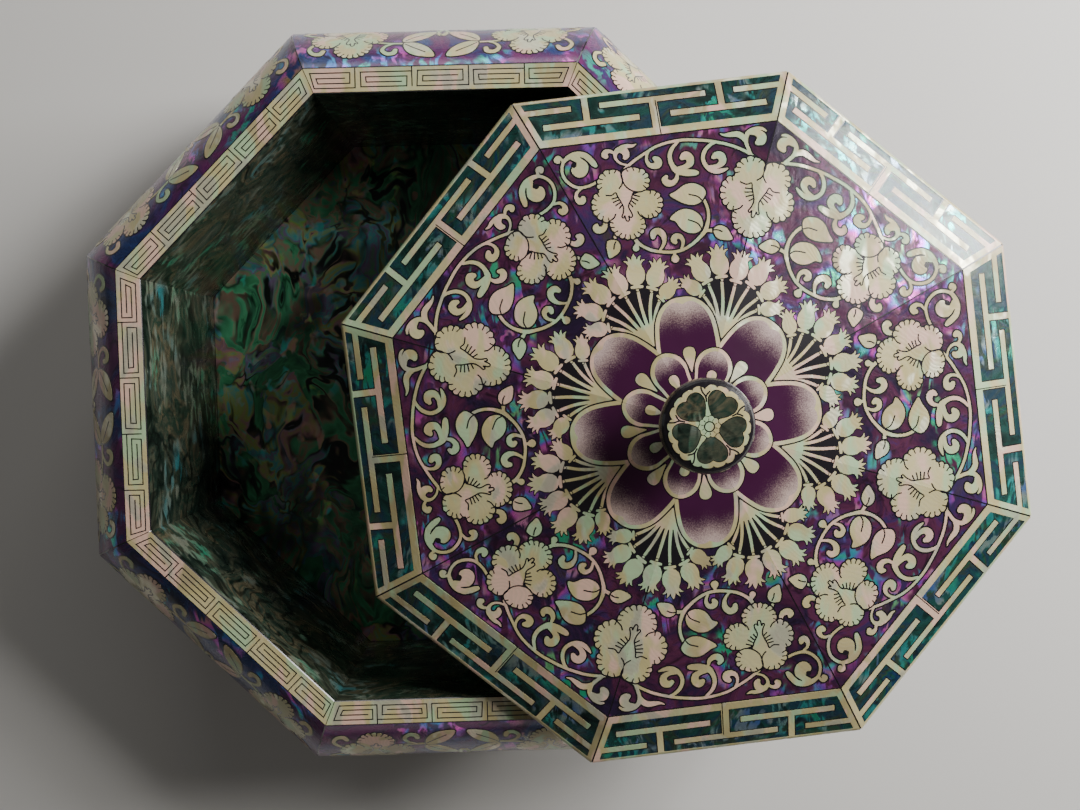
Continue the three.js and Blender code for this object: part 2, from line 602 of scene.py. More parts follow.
def smooth(points, steps=5, closed=False):
    """A smooth line through given points, which may carry a width as their last number."""
    at = np.array(points, float)
    if closed:
        ring = np.vstack([at[-1:], at, at[:2]])
        spans = len(at)
    else:
        ring = np.vstack([2 * at[0] - at[1], at, 2 * at[-1] - at[-2]])
        spans = len(at) - 1
    out = []
    for i in range(spans):
        a, b, c, d = ring[i : i + 4]
        for k in range(steps):
            u = k / steps
            turn = (2 * a - 5 * b + 4 * c - d) * u * u
            out.append(0.5 * (2 * b + (c - a) * u + turn + (3 * b - a - 3 * c + d) * u**3))
    if not closed:
        out.append(at[-1])
    return np.array(out)


class Sheet:
    """A flat drawing in millimetres. Below zero is inside a finish, above zero is outside it."""

    # The distance where nothing is near, and how far round a shape its distances are worked out.
    FAR = 9.0
    MARGIN = 1.2

    def __init__(self, left, right, low, high, step=0.2):
        self.step = step
        self.s = np.arange(left, right + step, step)
        self.t = np.arange(low, high + step, step)
        self.fields = {}
        self.lines = []

    def field(self, name):
        if name not in self.fields:
            self.fields[name] = np.full((len(self.t), len(self.s)), self.FAR)
        return self.fields[name]

    def window(self, points, reach=0.0):
        """The part of the grid round some points, as slices and as coordinates."""
        margin = reach + self.MARGIN
        low = np.min(points, axis=0)[:2] - margin
        high = np.max(points, axis=0)[:2] + margin
        i0, i1 = np.searchsorted(self.s, (low[0], high[0]))
        j0, j1 = np.searchsorted(self.t, (low[1], high[1]))
        part = (slice(j0, j1), slice(i0, i1))
        return part, self.s[None, i0:i1], self.t[j0:j1, None]

    def add_stroke(self, field, line):
        for (s0, t0, w0), (s1, t1, w1) in zip(line[:-1], line[1:]):
            part, s, t = self.window(((s0, t0), (s1, t1)), max(w0, w1) / 2)
            ds, dt = s1 - s0, t1 - t0
            length = max(ds * ds + dt * dt, 1e-9)
            h = np.clip(((s - s0) * ds + (t - t0) * dt) / length, 0.0, 1.0)
            away = np.hypot(s - s0 - h * ds, t - t0 - h * dt)
            radius = np.maximum(w0 + h * (w1 - w0), 0.1) / 2
            field[part] = np.minimum(field[part], away - radius)

    def add_blob(self, field, outline):
        part, s, t = self.window(outline)
        away = np.full((t.shape[0], s.shape[1]), self.FAR)
        inside = np.zeros(away.shape, bool)
        for (s0, t0), (s1, t1) in zip(outline, np.roll(outline, -1, axis=0)):
            ds, dt = s1 - s0, t1 - t0
            length = max(ds * ds + dt * dt, 1e-12)
            h = np.clip(((s - s0) * ds + (t - t0) * dt) / length, 0.0, 1.0)
            away = np.minimum(away, np.hypot(s - s0 - h * ds, t - t0 - h * dt))
            if dt:
                crossing = (t0 > t) != (t1 > t)
                inside ^= crossing & (s < s0 + (t - t0) * ds / dt)
        field[part] = np.minimum(field[part], np.where(inside, -away, away))

    def shape(self, strokes=(), blobs=()):
        """The distances of one piece made of strokes and blobs."""
        field = np.full((len(self.t), len(self.s)), self.FAR)
        for line in strokes:
            self.add_stroke(field, line)
        for outline in blobs:
            self.add_blob(field, np.array(outline, float)[:, :2])
        return field

    def lay(self, name, strokes=(), blobs=(), joint=None):
        """Lay a piece over what is there, with a dark joint of lacquer round it."""
        if joint is None:
            joint = sizes().joint / MM
        piece = self.shape(strokes, blobs)
        for other, field in self.fields.items():
            if other != "dark":
                np.maximum(field, joint - piece, out=field)
        dark = self.field("dark")
        np.minimum(dark, piece - joint, out=dark)
        if name != "dark":
            field = self.field(name)
            np.minimum(field, piece, out=field)

    def cut(self, strokes=(), blobs=()):
        """Cut a shape out of every finish, so that the lacquer shows."""
        piece = self.shape(strokes, blobs)
        for name, field in self.fields.items():
            if name != "dark":
                np.maximum(field, -piece, out=field)
        dark = self.field("dark")
        np.minimum(dark, piece, out=dark)

    def line(self, points, width):
        """A thin line cut in the shell."""
        path = smooth(points, 4) if len(points) > 2 else np.array(points, float)
        self.lines.append((path[:, :2], width))

    def keep_inside(self, mask):
        for field in self.fields.values():
            np.maximum(field, mask, out=field)


def outlines(field, s, t):
    """The closed outlines round where a field is below zero, by marching squares."""
    inside = field < 0
    inside[0, :] = inside[-1, :] = False
    inside[:, 0] = inside[:, -1] = False
    wide = field.shape[1]
    corners = (
        inside[:-1, :-1].astype(np.int8)
        + inside[:-1, 1:]
        + inside[1:, :-1]
        + inside[1:, 1:]
    )
    rows, columns = np.nonzero((corners > 0) & (corners < 4))
    links = {}
    places = {}
    offset = field.size

    def away(j, i):
        """The distance at a grid point, never nought and never very large."""
        distance = min(8.0, abs(field[j, i])) + 1e-4
        return -distance if inside[j, i] else distance

    def crossing(j0, i0, j1, i1):
        key = j0 * wide + i0 + (offset if j0 == j1 else 0)
        if key not in places:
            a = away(j0, i0)
            u = a / (a - away(j1, i1))
            places[key] = (
                s[i0] + u * (s[i1] - s[i0]),
                t[j0] + u * (t[j1] - t[j0]),
            )
        return key

    def link(a, b):
        links.setdefault(a, []).append(b)
        links.setdefault(b, []).append(a)

    for j, i in zip(rows.tolist(), columns.tolist()):
        ends = []
        if inside[j, i] != inside[j, i + 1]:
            ends.append(crossing(j, i, j, i + 1))
        if inside[j, i + 1] != inside[j + 1, i + 1]:
            ends.append(crossing(j, i + 1, j + 1, i + 1))
        if inside[j + 1, i] != inside[j + 1, i + 1]:
            ends.append(crossing(j + 1, i, j + 1, i + 1))
        if inside[j, i] != inside[j + 1, i]:
            ends.append(crossing(j, i, j + 1, i))
        if len(ends) == 2:
            link(ends[0], ends[1])
        elif inside[j, i]:
            link(ends[0], ends[3])
            link(ends[1], ends[2])
        else:
            link(ends[0], ends[1])
            link(ends[2], ends[3])
    loops = []
    used = set()
    for first in links:
        if first in used:
            continue
        loop = [first]
        used.add(first)
        here = first
        while True:
            onward = [n for n in links[here] if n not in used]
            if not onward:
                break
            here = onward[0]
            used.add(here)
            loop.append(here)
        if len(loop) > 3:
            loops.append(np.array([places[key] for key in loop]))
    return loops


def thinned(loop, slack):
    """Leave out the points of a closed loop that lie within slack of the line without them."""
    far = int(np.argmax(np.sum((loop - loop[0]) ** 2, axis=1)))
    keep = {0, far}
    closed = np.vstack([loop, loop[:1]])
    stack = [(0, far), (far, len(loop))]
    while stack:
        a, b = stack.pop()
        if b - a < 2:
            continue
        chord = closed[b] - closed[a]
        length = math.hypot(*chord)
        rest = closed[a + 1 : b] - closed[a]
        if length < 1e-9:
            away = np.hypot(rest[:, 0], rest[:, 1])
        else:
            away = np.abs(rest[:, 0] * chord[1] - rest[:, 1] * chord[0]) / length
        worst = int(np.argmax(away))
        if away[worst] > slack:
            middle = a + 1 + worst
            keep.add(middle % len(loop))
            stack += [(a, middle), (middle, b)]
    return loop[sorted(keep)]


def flat_faces(loops):
    """Triangles that fill closed loops, holes left open, as a flat mesh."""
    points = []
    edges = []
    for loop in loops:
        base = len(points)
        points += [Vector(p) for p in loop.tolist()]
        edges += [(base + k, base + (k + 1) % len(loop)) for k in range(len(loop))]
    made = delaunay_2d_cdt(points, edges, [], 0, 1e-5, True)
    verts, all_edges, faces, _, edge_from, _ = made
    border = {tuple(sorted(e)) for e, source in zip(all_edges, edge_from) if source}

    def edges_of(face):
        return [tuple(sorted((face[k], face[(k + 1) % len(face)]))) for k in range(len(face))]

    beside = {}
    for n, face in enumerate(faces):
        for edge in edges_of(face):
            beside.setdefault(edge, []).append(n)
    # A face is inside where an odd number of outlines lies between it and the outside.
    inside = {}
    todo = []
    for edge, owners in beside.items():
        if len(owners) == 1 and owners[0] not in inside:
            inside[owners[0]] = edge in border
            todo.append(owners[0])
    while todo:
        n = todo.pop()
        for edge in edges_of(faces[n]):
            for other in beside[edge]:
                if other not in inside:
                    inside[other] = inside[n] != (edge in border)
                    todo.append(other)
    bm = bmesh.new()
    corners = [bm.verts.new((v[0], v[1], 0.0)) for v in verts]
    for n, face in enumerate(faces):
        if inside.get(n):
            bm.faces.new([corners[k] for k in face])
    loose = [v for v in bm.verts if not v.link_faces]
    bmesh.ops.delete(bm, geom=loose, context="VERTS")
    return bm


# Specks smaller than this are left out, in square millimetres.
LEAST_AREA = 0.12


def drawn(sheet, name, slack=0.035):
    """The flat mesh of one finish of a sheet."""
    loops = outlines(sheet.fields[name], sheet.s, sheet.t)
    kept = []
    for loop in loops:
        following = np.roll(loop, -1, axis=0)
        area = 0.5 * abs(np.sum(loop[:, 0] * following[:, 1] - following[:, 0] * loop[:, 1]))
        if area > LEAST_AREA:
            kept.append(thinned(loop, slack))
    return flat_faces([loop for loop in kept if len(loop) > 2])


def outlined(points):
    """The flat mesh of one plain outline."""
    return flat_faces([np.array(points, float)])


def ribbons(lines):
    """Thin lines as flat strips with square ends and mitred bends."""
    bm = bmesh.new()
    for path, width in lines:
        ahead = np.gradient(path, axis=0)
        length = np.maximum(np.hypot(ahead[:, 0], ahead[:, 1]), 1e-9)
        across = np.stack([-ahead[:, 1], ahead[:, 0]], axis=1) / length[:, None] * width / 2
        left = [bm.verts.new((*p, 0.0)) for p in (path + across).tolist()]
        right = [bm.verts.new((*p, 0.0)) for p in (path - across).tolist()]
        for k in range(len(path) - 1):
            bm.faces.new((right[k], right[k + 1], left[k + 1], left[k]))
    return bm


def cut_along(bm, point, normal, clear=False):
    """Cut the drawing along a line. Where clear is set, what lies on the normal's side goes."""
    bmesh.ops.bisect_plane(
        bm,
        geom=bm.verts[:] + bm.edges[:] + bm.faces[:],
        dist=1e-6,
        plane_co=(*point, 0.0),
        plane_no=(*normal, 0.0),
        clear_outer=clear,
    )


def creased(bm, heights):
    """Cut the drawing across at some heights, so that it can bend there."""
    for height in heights:
        cut_along(bm, (0.0, height), (0.0, 1.0))
    return bm


# Surfaces: each turns a drawing's millimetres into a place over the frame.


def on_side(side, s, t, z):
    """A place at distance t from the axis and s along a side, in metres."""
    angle = side * math.tau / SIDES
    x = t * math.cos(angle) + s * math.sin(angle)
    y = t * math.sin(angle) - s * math.cos(angle)
    return np.stack([x, y, z], axis=1) * MM


def lid_surface(side, s, t, lift):
    """The lid's field, its border and its rounded edge, in the lid's own frame."""
    border_rise = FIELD_EDGE_HEIGHT - LID_EDGE_HEIGHT
    border_run = LID_EDGE_START - FIELD_OUTER
    border_slope = math.atan2(border_rise, border_run)
    round_angle = np.clip((t - LID_EDGE_START) / LID_EDGE_RADIUS, 0.0, math.pi / 2)
    on_field = t < FIELD_OUTER
    slope = np.where(on_field, FIELD_SLOPE, border_slope)
    z = np.where(
        on_field,
        FIELD_EDGE_HEIGHT + (FIELD_OUTER - t) * math.tan(FIELD_SLOPE),
        LID_EDGE_HEIGHT + (LID_EDGE_START - t) * border_rise / border_run,
    )
    on_edge = t > LID_EDGE_START
    # Past the border, t is the way round the edge's arc, and s shrinks to stay between the ridges.
    outward = np.where(on_edge, LID_EDGE_START + LID_EDGE_RADIUS * np.sin(round_angle), t)
    z = np.where(on_edge, LID_EDGE_HEIGHT - LID_EDGE_RADIUS * (1 - np.cos(round_angle)), z)
    slope = np.where(on_edge, np.maximum(round_angle, 0.2), slope)
    squeeze = np.where(t > 1.0, (outward + lift * np.sin(slope)) / np.maximum(t, 1.0), 1.0)
    s = np.where(on_edge, s * np.minimum(squeeze, 1.0), s)
    return on_side(side, s, outward + lift * np.sin(slope), z + lift * np.cos(slope))


def rim_surface(side, s, t, lift):
    """The flat band round the box's mouth."""
    return on_side(side, s, t, np.full(len(s), RIM_TOP) + lift)


def belly_surface(side, s, v, lift):
    """The belly, v being measured down its arc from the rim."""
    angle = ARC_SWEEP - v / ARC_RADIUS
    reach = ARC_MIDDLE + (ARC_RADIUS + lift) * np.cos(angle)
    height = FOOT + HALF_CHORD + (ARC_RADIUS + lift) * np.sin(angle)
    return on_side(side, s, reach, height)


def wall_surface(side, s, t, lift):
    """The well's wall, t being its height."""
    return on_side(side, s, np.full(len(s), RIM_INNER) - lift, t)


def floor_surface(side, s, t, lift):
    """The well's floor."""
    return on_side(side, s, t, np.full(len(s), FLOOR_TOP) + lift)


def plate_mesh(bm, surface, sides, low, high, place_on=None):
    """Thin closed plates over a surface: the drawing at two heights with walls between.

    Each side is its number and whether the drawing is turned over on it. place_on turns the
    drawing's millimetres into the plates' own coordinates.
    """
    if not bm.faces:
        raise RuntimeError("a drawing came out empty")
    bm.verts.index_update()
    flat = np.array([v.co[:2] for v in bm.verts])
    faces = [[v.index for v in face.verts] for face in bm.faces]
    rim = []
    for edge in bm.edges:
        if len(edge.link_loops) == 1:
            loop = edge.link_loops[0]
            rim.append((loop.vert.index, loop.link_loop_next.vert.index))
    count = len(flat)
    verts = []
    polygons = []
    marks = []
    for side, mirror in sides:
        s = flat[:, 0] * (-1 if mirror else 1)
        base = len(verts) * count
        verts.append(surface(side, s, flat[:, 1], high))
        verts.append(surface(side, s, flat[:, 1], low))
        marks += [flat, flat]
        top = [[base + k for k in face] for face in faces]
        under = [[base + count + k for k in reversed(face)] for face in faces]
        walls = [[base + b, base + a, base + count + a, base + count + b] for a, b in rim]
        new = top + under + walls
        polygons += [face[::-1] for face in new] if mirror else new
    bm.free()
    verts = np.vstack(verts)
    marks = np.vstack(marks)
    mesh = bpy.data.meshes.new("plates")
    mesh.from_pydata(verts.tolist(), [], polygons)
    if place_on:
        corners = np.empty(len(mesh.loops), np.int32)
        mesh.loops.foreach_get("vertex_index", corners)
        layer = mesh.uv_layers.new(name="drawn")
        layer.data.foreach_set("uv", place_on(marks[corners]).astype(np.float32).ravel())
    mesh.update()
    return mesh


def repeat_tree():
    """Node tree: repeat what comes in round the vertical axis and give each island its own tone."""
    name = "repeat_round"
    if name in bpy.data.node_groups:
        return bpy.data.node_groups[name]
    tree = bpy.data.node_groups.new(name, "GeometryNodeTree")
    face = tree.interface
    face.new_socket("Geometry", in_out="INPUT", socket_type="NodeSocketGeometry")
    face.new_socket("Copies", in_out="INPUT", socket_type="NodeSocketInt")
    face.new_socket("Seed", in_out="INPUT", socket_type="NodeSocketInt")
    face.new_socket("Finish", in_out="INPUT", socket_type="NodeSocketMaterial")
    face.new_socket("Geometry", in_out="OUTPUT", socket_type="NodeSocketGeometry")
    new = tree.nodes.new
    link = tree.links.new
    given = new("NodeGroupInput")
    points = new("GeometryNodeMeshLine")
    points.inputs["Offset"].default_value = (0.0, 0.0, 0.0)
    index = new("GeometryNodeInputIndex")
    step = new("ShaderNodeMath")
    step.operation = "DIVIDE"
    step.inputs[0].default_value = math.tau
    turn = new("ShaderNodeMath")
    turn.operation = "MULTIPLY"
    angles = new("ShaderNodeCombineXYZ")
    copies = new("GeometryNodeInstanceOnPoints")
    real = new("GeometryNodeRealizeInstances")
    island = new("GeometryNodeInputMeshIsland")
    chance = new("FunctionNodeRandomValue")
    store = new("GeometryNodeStoreNamedAttribute")
    store.inputs["Name"].default_value = "tone"
    coat = new("GeometryNodeSetMaterial")
    out = new("NodeGroupOutput")
    link(given.outputs["Copies"], points.inputs["Count"])
    link(given.outputs["Copies"], step.inputs[1])
    link(index.outputs[0], turn.inputs[0])
    link(step.outputs[0], turn.inputs[1])
    link(turn.outputs[0], angles.inputs["Z"])
    link(points.outputs[0], copies.inputs["Points"])
    link(given.outputs["Geometry"], copies.inputs["Instance"])
    link(angles.outputs[0], copies.inputs["Rotation"])
    link(copies.outputs[0], real.inputs[0])
    link(real.outputs[0], store.inputs["Geometry"])
    link(island.outputs["Island Index"], chance.inputs["ID"])
    link(given.outputs["Seed"], chance.inputs["Seed"])
    link(chance.outputs[1], store.inputs["Value"])
    link(store.outputs[0], coat.inputs["Geometry"])
    link(given.outputs["Finish"], coat.inputs["Material"])
    link(coat.outputs[0], out.inputs[0])
    return tree


def modifier_input(tree, name):
    """The identifier of a tree's input."""
    for item in tree.interface.items_tree:
        if item.item_type == "SOCKET" and item.in_out == "INPUT" and item.name == name:
            return item.identifier
    raise KeyError(name)


def piece(name, mesh, look, copies, place=None, soft=False):
    """Repeat a mesh round the axis, make it plain, set it in its place and tie it to the frame."""
    body = bpy.data.objects.new(name, mesh)
    bpy.context.collection.objects.link(body)
    tree = repeat_tree()
    repeat = body.modifiers.new("repeat", "NODES")
    repeat.node_group = tree
    repeat[modifier_input(tree, "Copies")] = copies
    repeat[modifier_input(tree, "Seed")] = sizes().seed + len(name)
    repeat[modifier_input(tree, "Finish")] = finish(look)
    body.update_tag()
    depsgraph = bpy.context.evaluated_depsgraph_get()
    made = bpy.data.meshes.new_from_object(
        body.evaluated_get(depsgraph), preserve_all_data_layers=True, depsgraph=depsgraph
    )
    body.modifiers.clear()
    body.data = made
    made.name = name
    bpy.data.meshes.remove(mesh)
    if place:
        made.transform(place)
    if soft:
        made.polygons.foreach_set("use_smooth", [True] * len(made.polygons))
        made.set_sharp_from_angle(angle=math.radians(35))
    made.update()
    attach(body, "root")
    "black_lacquer" if look == "black" else "shell_inlay"


# Outlines.


def bar(s0, s1, t0, t1):
    """A rectangle."""
    return [(s0, t0), (s1, t0), (s1, t1), (s0, t1)]


def facet(low, high, gap):
    """One side of the octagon between two distances from the axis, short of its ridges by a gap."""
    return [
        (gap - HALF_TAN * low, low),
        (HALF_TAN * low - gap, low),
        (HALF_TAN * high - gap, high),
        (gap - HALF_TAN * high, high),
    ]


def disc(centre, radius, points=24):
    """A round outline."""
    return [
        (
            centre[0] + radius * math.cos(math.tau * k / points),
            centre[1] + radius * math.sin(math.tau * k / points),
        )
        for k in range(points)
    ]


def mirrored(half):
    """An outline from its half, turned over the line where the second number is zero."""
    return half + [(a, -b) for a, b in reversed(half) if b]


def seam_point(side, a, b):
    """A point at a along a ridge and b across it, on the s+ ridge for side 1."""
    return (side * (HALF_SIN * a + HALF_COS * b), HALF_COS * a - HALF_SIN * b)


def on_ridge(side, outline):
    """An outline in seam_point's terms, placed on a ridge."""
    return [seam_point(side, a, b) for a, b in outline]


def turned(points, centre, scale=1.0, degrees=0.0):
    """Points drawn about the origin, scaled, turned and moved; a width is scaled too."""
    angle = math.radians(degrees)
    out = []
    for point in points:
        x = scale * (point[0] * math.cos(angle) - point[1] * math.sin(angle)) + centre[0]
        y = scale * (point[0] * math.sin(angle) + point[1] * math.cos(angle)) + centre[1]
        out.append((x, y, *(w * scale for w in point[2:])))
    return out


def lobed(points):
    """A closed outline through points going clockwise; a third number makes a lobe to the next."""
    out = []
    for here, after in zip(points, points[1:] + points[:1]):
        lobe = here[2] if len(here) > 2 else 0.0
        dx = after[0] - here[0]
        dy = after[1] - here[1]
        length = max(math.hypot(dx, dy), 1e-6)
        count = 7 if lobe else 1
        for k in range(count):
            u = k / count
            rise = lobe * math.sin(math.pi * u) ** 0.6
            out.append((here[0] + u * dx - rise * dy / length, here[1] + u * dy + rise * dx / length))
    return out


# Flowers and leaves. A peony's petals go clockwise about the origin, its pistil points down, and a
# third number is the height of the lobe that follows a point.
PEONY_PETALS = [
    [(-3.0, 3.6), (-7.9, 3.9, 0.8), (-8.9, 5.6, 0.8), (-9.0, 7.5, 0.8), (-8.3, 9.4, 0.8),
     (-6.7, 11.1, 0.8), (-4.4, 12.1, 0.3), (-1.9, 12.0, 0.3), (-0.2, 10.4), (-0.1, 7.5), (-1.4, 5.0)],
    [(0.2, 10.4, 0.3), (2.0, 11.9, 0.3), (4.6, 12.2, 0.3), (7.1, 11.2, 0.8), (8.8, 9.6, 0.8),
     (9.6, 7.7, 0.8), (9.3, 5.7, 0.8), (8.4, 4.1, 0.4), (7.4, 2.9), (5.4, 2.7), (2.8, 3.7), (0.9, 5.6)],
    [(-3.2, -5.6), (-4.9, -6.6, 0.2), (-6.9, -6.9, 0.8), (-9.2, -6.0, 0.8), (-10.9, -4.4, 0.8),
     (-11.9, -2.3, 0.8), (-12.0, -0.1, 0.8), (-11.4, 2.0, 0.8), (-9.9, 3.7, 0.4), (-8.0, 4.1),
     (-3.0, 3.4), (-1.0, -2.0)],
    [(7.4, 2.9, 0.1), (10.0, 2.5, 0.5), (12.0, 1.5, 0.8), (13.1, -0.2, 0.8), (13.4, -2.3, 0.8),
     (12.8, -4.3, 0.8), (11.5, -6.0, 0.8), (9.7, -7.1, 0.4), (7.9, -7.5, 0.2), (6.2, -6.8),
     (4.8, -5.2), (1.0, -3.0), (2.0, 1.5)],
    [(4.6, -5.0, 0.1), (5.9, -7.5, 0.3), (6.0, -9.7, 0.8), (5.4, -11.6, 0.8), (4.0, -13.0, 0.8),
     (2.2, -13.9, 0.8), (0.2, -14.2, 0.8), (-1.8, -13.8, 0.8), (-3.7, -12.9, 0.8), (-5.2, -11.5, 0.4),
     (-6.4, -9.6, 0.3), (-6.5, -7.6, 0.2), (-5.0, -5.4), (0.0, -3.0)],
    [(-3.2, 4.2), (-0.3, 9.0), (3.0, 4.6), (3.6, 1.0), (5.4, -5.4), (-5.2, -5.6), (-3.6, 1.0)],
]
# Its pistil, stamens and the folds between its petals.
PEONY_CUTS = [
    [(0.0, 11.6), (-0.2, 9.6), (0.1, 7.6), (-0.5, 6.1), (-1.7, 4.8)],
    [(0.1, 7.8), (0.8, 5.8), (2.4, 4.0), (4.4, 3.0), (6.4, 2.7), (8.2, 3.2)],
    [(-7.0, 2.9), (-4.7, 2.6), (-3.1, 3.5), (-2.5, 1.8), (-1.6, -0.3), (-0.9, -2.3), (-1.2, -4.4),
     (-1.9, -6.0), (-1.3, -6.5), (-0.8, -5.6)],
    [(-0.8, -5.6), (-0.5, -7.5), (0.1, -7.9), (0.7, -7.5), (0.6, -5.8)],
    [(0.6, -5.8), (1.2, -6.6), (2.0, -6.3), (1.9, -5.0), (1.2, -3.2), (1.2, -1.8), (2.4, 0.2),
     (3.3, 2.6)],
    [(-2.5, 1.6), (-4.9, 1.2)],
    [(-2.1, 0.6), (-4.6, -0.2)],
    [(-1.7, -0.4), (-3.9, -1.6)],
    [(-1.2, -1.5), (-2.6, -2.8)],
    [(3.2, 1.9), (5.8, 0.9)],
    [(2.7, 0.9), (5.0, -0.7)],
    [(2.2, -0.1), (3.9, -1.9)],
    [(1.6, -1.1), (2.7, -2.8)],
    [(-4.1, -4.6), (-4.9, -6.0), (-6.8, -7.2)],
    [(4.2, -4.6), (4.7, -6.0), (6.0, -7.3)],
]


# How long the notch between two lobes of a petal is, in two parts: beyond the edge and within it.
NOTCH = 1.5
NOTCH_OUT = 0.4
NOTCH_IN = 0.8


def peony(sheet, centre, scale=1.0, degrees=0.0):
    """An open peony, its pistil, stamens and petal edges cut as lines."""
    width = sizes().line_width / MM
    petals = [turned(lobed(petal), centre, scale, degrees) for petal in PEONY_PETALS]
    sheet.lay("pearl", blobs=petals)
    for petal in PEONY_PETALS:
        middle = np.mean([point[:2] for point in petal], axis=0)
        for before, here in zip(petal, petal[1:]):
            if len(before) > 2 and len(here) > 2:
                inward = middle - here[:2]
                inward *= NOTCH / math.hypot(*inward)
                notch = [
                    (here[0] - inward[0] * NOTCH_OUT, here[1] - inward[1] * NOTCH_OUT),
                    (here[0] + inward[0] * NOTCH_IN, here[1] + inward[1] * NOTCH_IN),
                ]
                sheet.line(turned(notch, centre, scale, degrees), width * 1.2)
    for path in PEONY_CUTS:
        sheet.line(turned(path, centre, scale, degrees), width * 1.45)


MIDRIB_WIDTH = 0.5


def leaf(sheet, outline, midrib):
    """A leaf with its midrib cut in it."""
    sheet.lay("pearl", blobs=[smooth(outline, 4, closed=True)])
    sheet.line(midrib, MIDRIB_WIDTH)


# The lid's field. A line's third number is its width, and a leaf is its outline and its midrib.
FIELD_VINES = [
    # The vine that arches over from the first peony to the ridge.
    [(-16.2, 96.5, 0.9), (-14.5, 98.2, 0.9), (-12.8, 99.4, 1.1), (-10, 101.2, 1), (-6, 103.3, 1),
     (-2, 105.2, 1), (2, 106.2, 1), (6, 106.6, 1.1), (10, 106.6, 1.1), (14, 106, 1.1),
     (19, 105, 1.1), (24, 103.4, 1.1), (28, 101.7, 1.1), (32, 99.2, 1.1), (34.5, 97, 1),
     (36.5, 95, 1.2), (37.6, 94.2, 1.2)],
    [(-13.2, 99.5, 0.7), (-15.6, 100.4, 0.8), (-17.2, 102.2, 1), (-17.3, 104.3, 1.5),
     (-15.8, 105.8, 2.2), (-13.8, 105.2, 2.8), (-13.2, 103.4, 2.4), (-13.8, 102.4, 1.6)],
    [(-17, 104.9, 1), (-15, 106.4, 1.6), (-12.5, 106.9, 1.5), (-10.5, 106.7, 1.1), (-9, 107.2, 0.3)],
    [(-17.6, 104.7, 1), (-19, 105.6, 1.2), (-20.6, 105.6, 1.9), (-21.4, 104.5, 2.3),
     (-20.9, 103.8, 1.8)],
    # The corner scroll beyond the first peony.
    [(-23, 95.6, 1), (-26, 94.2, 1), (-29, 93.2, 1), (-32.5, 93, 1.1), (-35.5, 94.6, 1.1),
     (-37.6, 97.4, 1.1), (-38.1, 100.4, 1.1), (-37.2, 103.4, 1.2), (-35, 105.2, 1.8),
     (-32, 106, 2.1), (-29, 105.3, 2.2), (-27.2, 103.6, 2.2), (-26, 101.8, 2.1), (-25.3, 100.8, 1.5)],
    [(-33.5, 104.6, 1.6), (-31, 103.4, 2.8), (-30.3, 101.2, 4.4), (-31.3, 99.6, 5.4),
     (-32.8, 99.8, 3.6)],
    [(-37, 103.6, 1), (-38, 105, 1.1), (-39, 105.4, 1.8), (-39.7, 104.6, 2), (-39.1, 104, 1.6)],
    [(-32, 92.4, 0.8), (-33.6, 91.2, 1.1), (-34, 89.3, 1.5), (-33, 87.8, 2.3), (-31.8, 87.9, 2.4),
     (-31.5, 88.9, 1.7)],
    # Curls that hang from the arch.
    [(-4.6, 104, 0.9), (-5.6, 102.2, 1), (-5.8, 100.2, 1.2), (-5, 98.6, 1.7), (-3.4, 97.9, 2.2),
     (-1.8, 98.4, 2.8), (-1.6, 99.8, 2.6), (-2.6, 100.8, 1.8)],
    [(6.6, 105.9, 1), (4.6, 104.2, 1.3), (3.3, 102, 1.5), (3, 99.5, 1.6), (3.6, 97.2, 1.8),
     (4.8, 95.3, 2.4), (7, 94.3, 2.6), (9, 93.8, 2.6), (11.5, 93.5, 2.2), (12.3, 93.4, 1.6)],
    [(5.5, 95.6, 1.8), (8.5, 96.2, 2), (10.3, 97.4, 2.6), (10.4, 99.5, 3), (9, 100.6, 3),
     (7.6, 99.8, 1.8)],
    [(4.9, 93.6, 1), (4.3, 91.8, 1.6), (2.6, 90.6, 2.1), (0.8, 90.8, 2.6), (-0.1, 92.2, 2.2),
     (0.7, 93.3, 1.3)],
    [(21, 104.3, 0.9), (19, 103.6, 1.2), (16.6, 101.6, 1.4), (15.4, 98.8, 1.4), (15.9, 96, 1.5),
     (17.8, 93.8, 1.8), (20.2, 93, 1.8), (22.4, 93.2, 1.4), (24, 93.6, 0.6)],
    [(17.5, 94.8, 1.6), (20.5, 95, 1.8), (22.5, 96.4, 2.6), (22.4, 98.6, 3), (20.8, 99.3, 2.6),
     (19.4, 98.6, 1.6)],
    [(33.6, 98, 1), (32.9, 100.4, 1.3), (32.5, 102.5, 1.4), (32.6, 104.2, 1.6), (33.4, 106, 1.7),
     (35.2, 107.3, 1.5), (37.6, 107.7, 1.3), (39.6, 107.2, 1.1), (40.6, 106.3, 0.6)],
    [(32.3, 103.4, 1.4), (31.4, 105.2, 2.2), (29.6, 106.4, 2.2), (27, 106.5, 1.8),
     (24.8, 106.6, 1), (23.2, 107.3, 0.3)],
    [(34.6, 106.4, 1.5), (37, 106, 2.4), (38.6, 104.6, 3.4), (38.2, 102.8, 3.4), (36.8, 102.2, 2)],
]

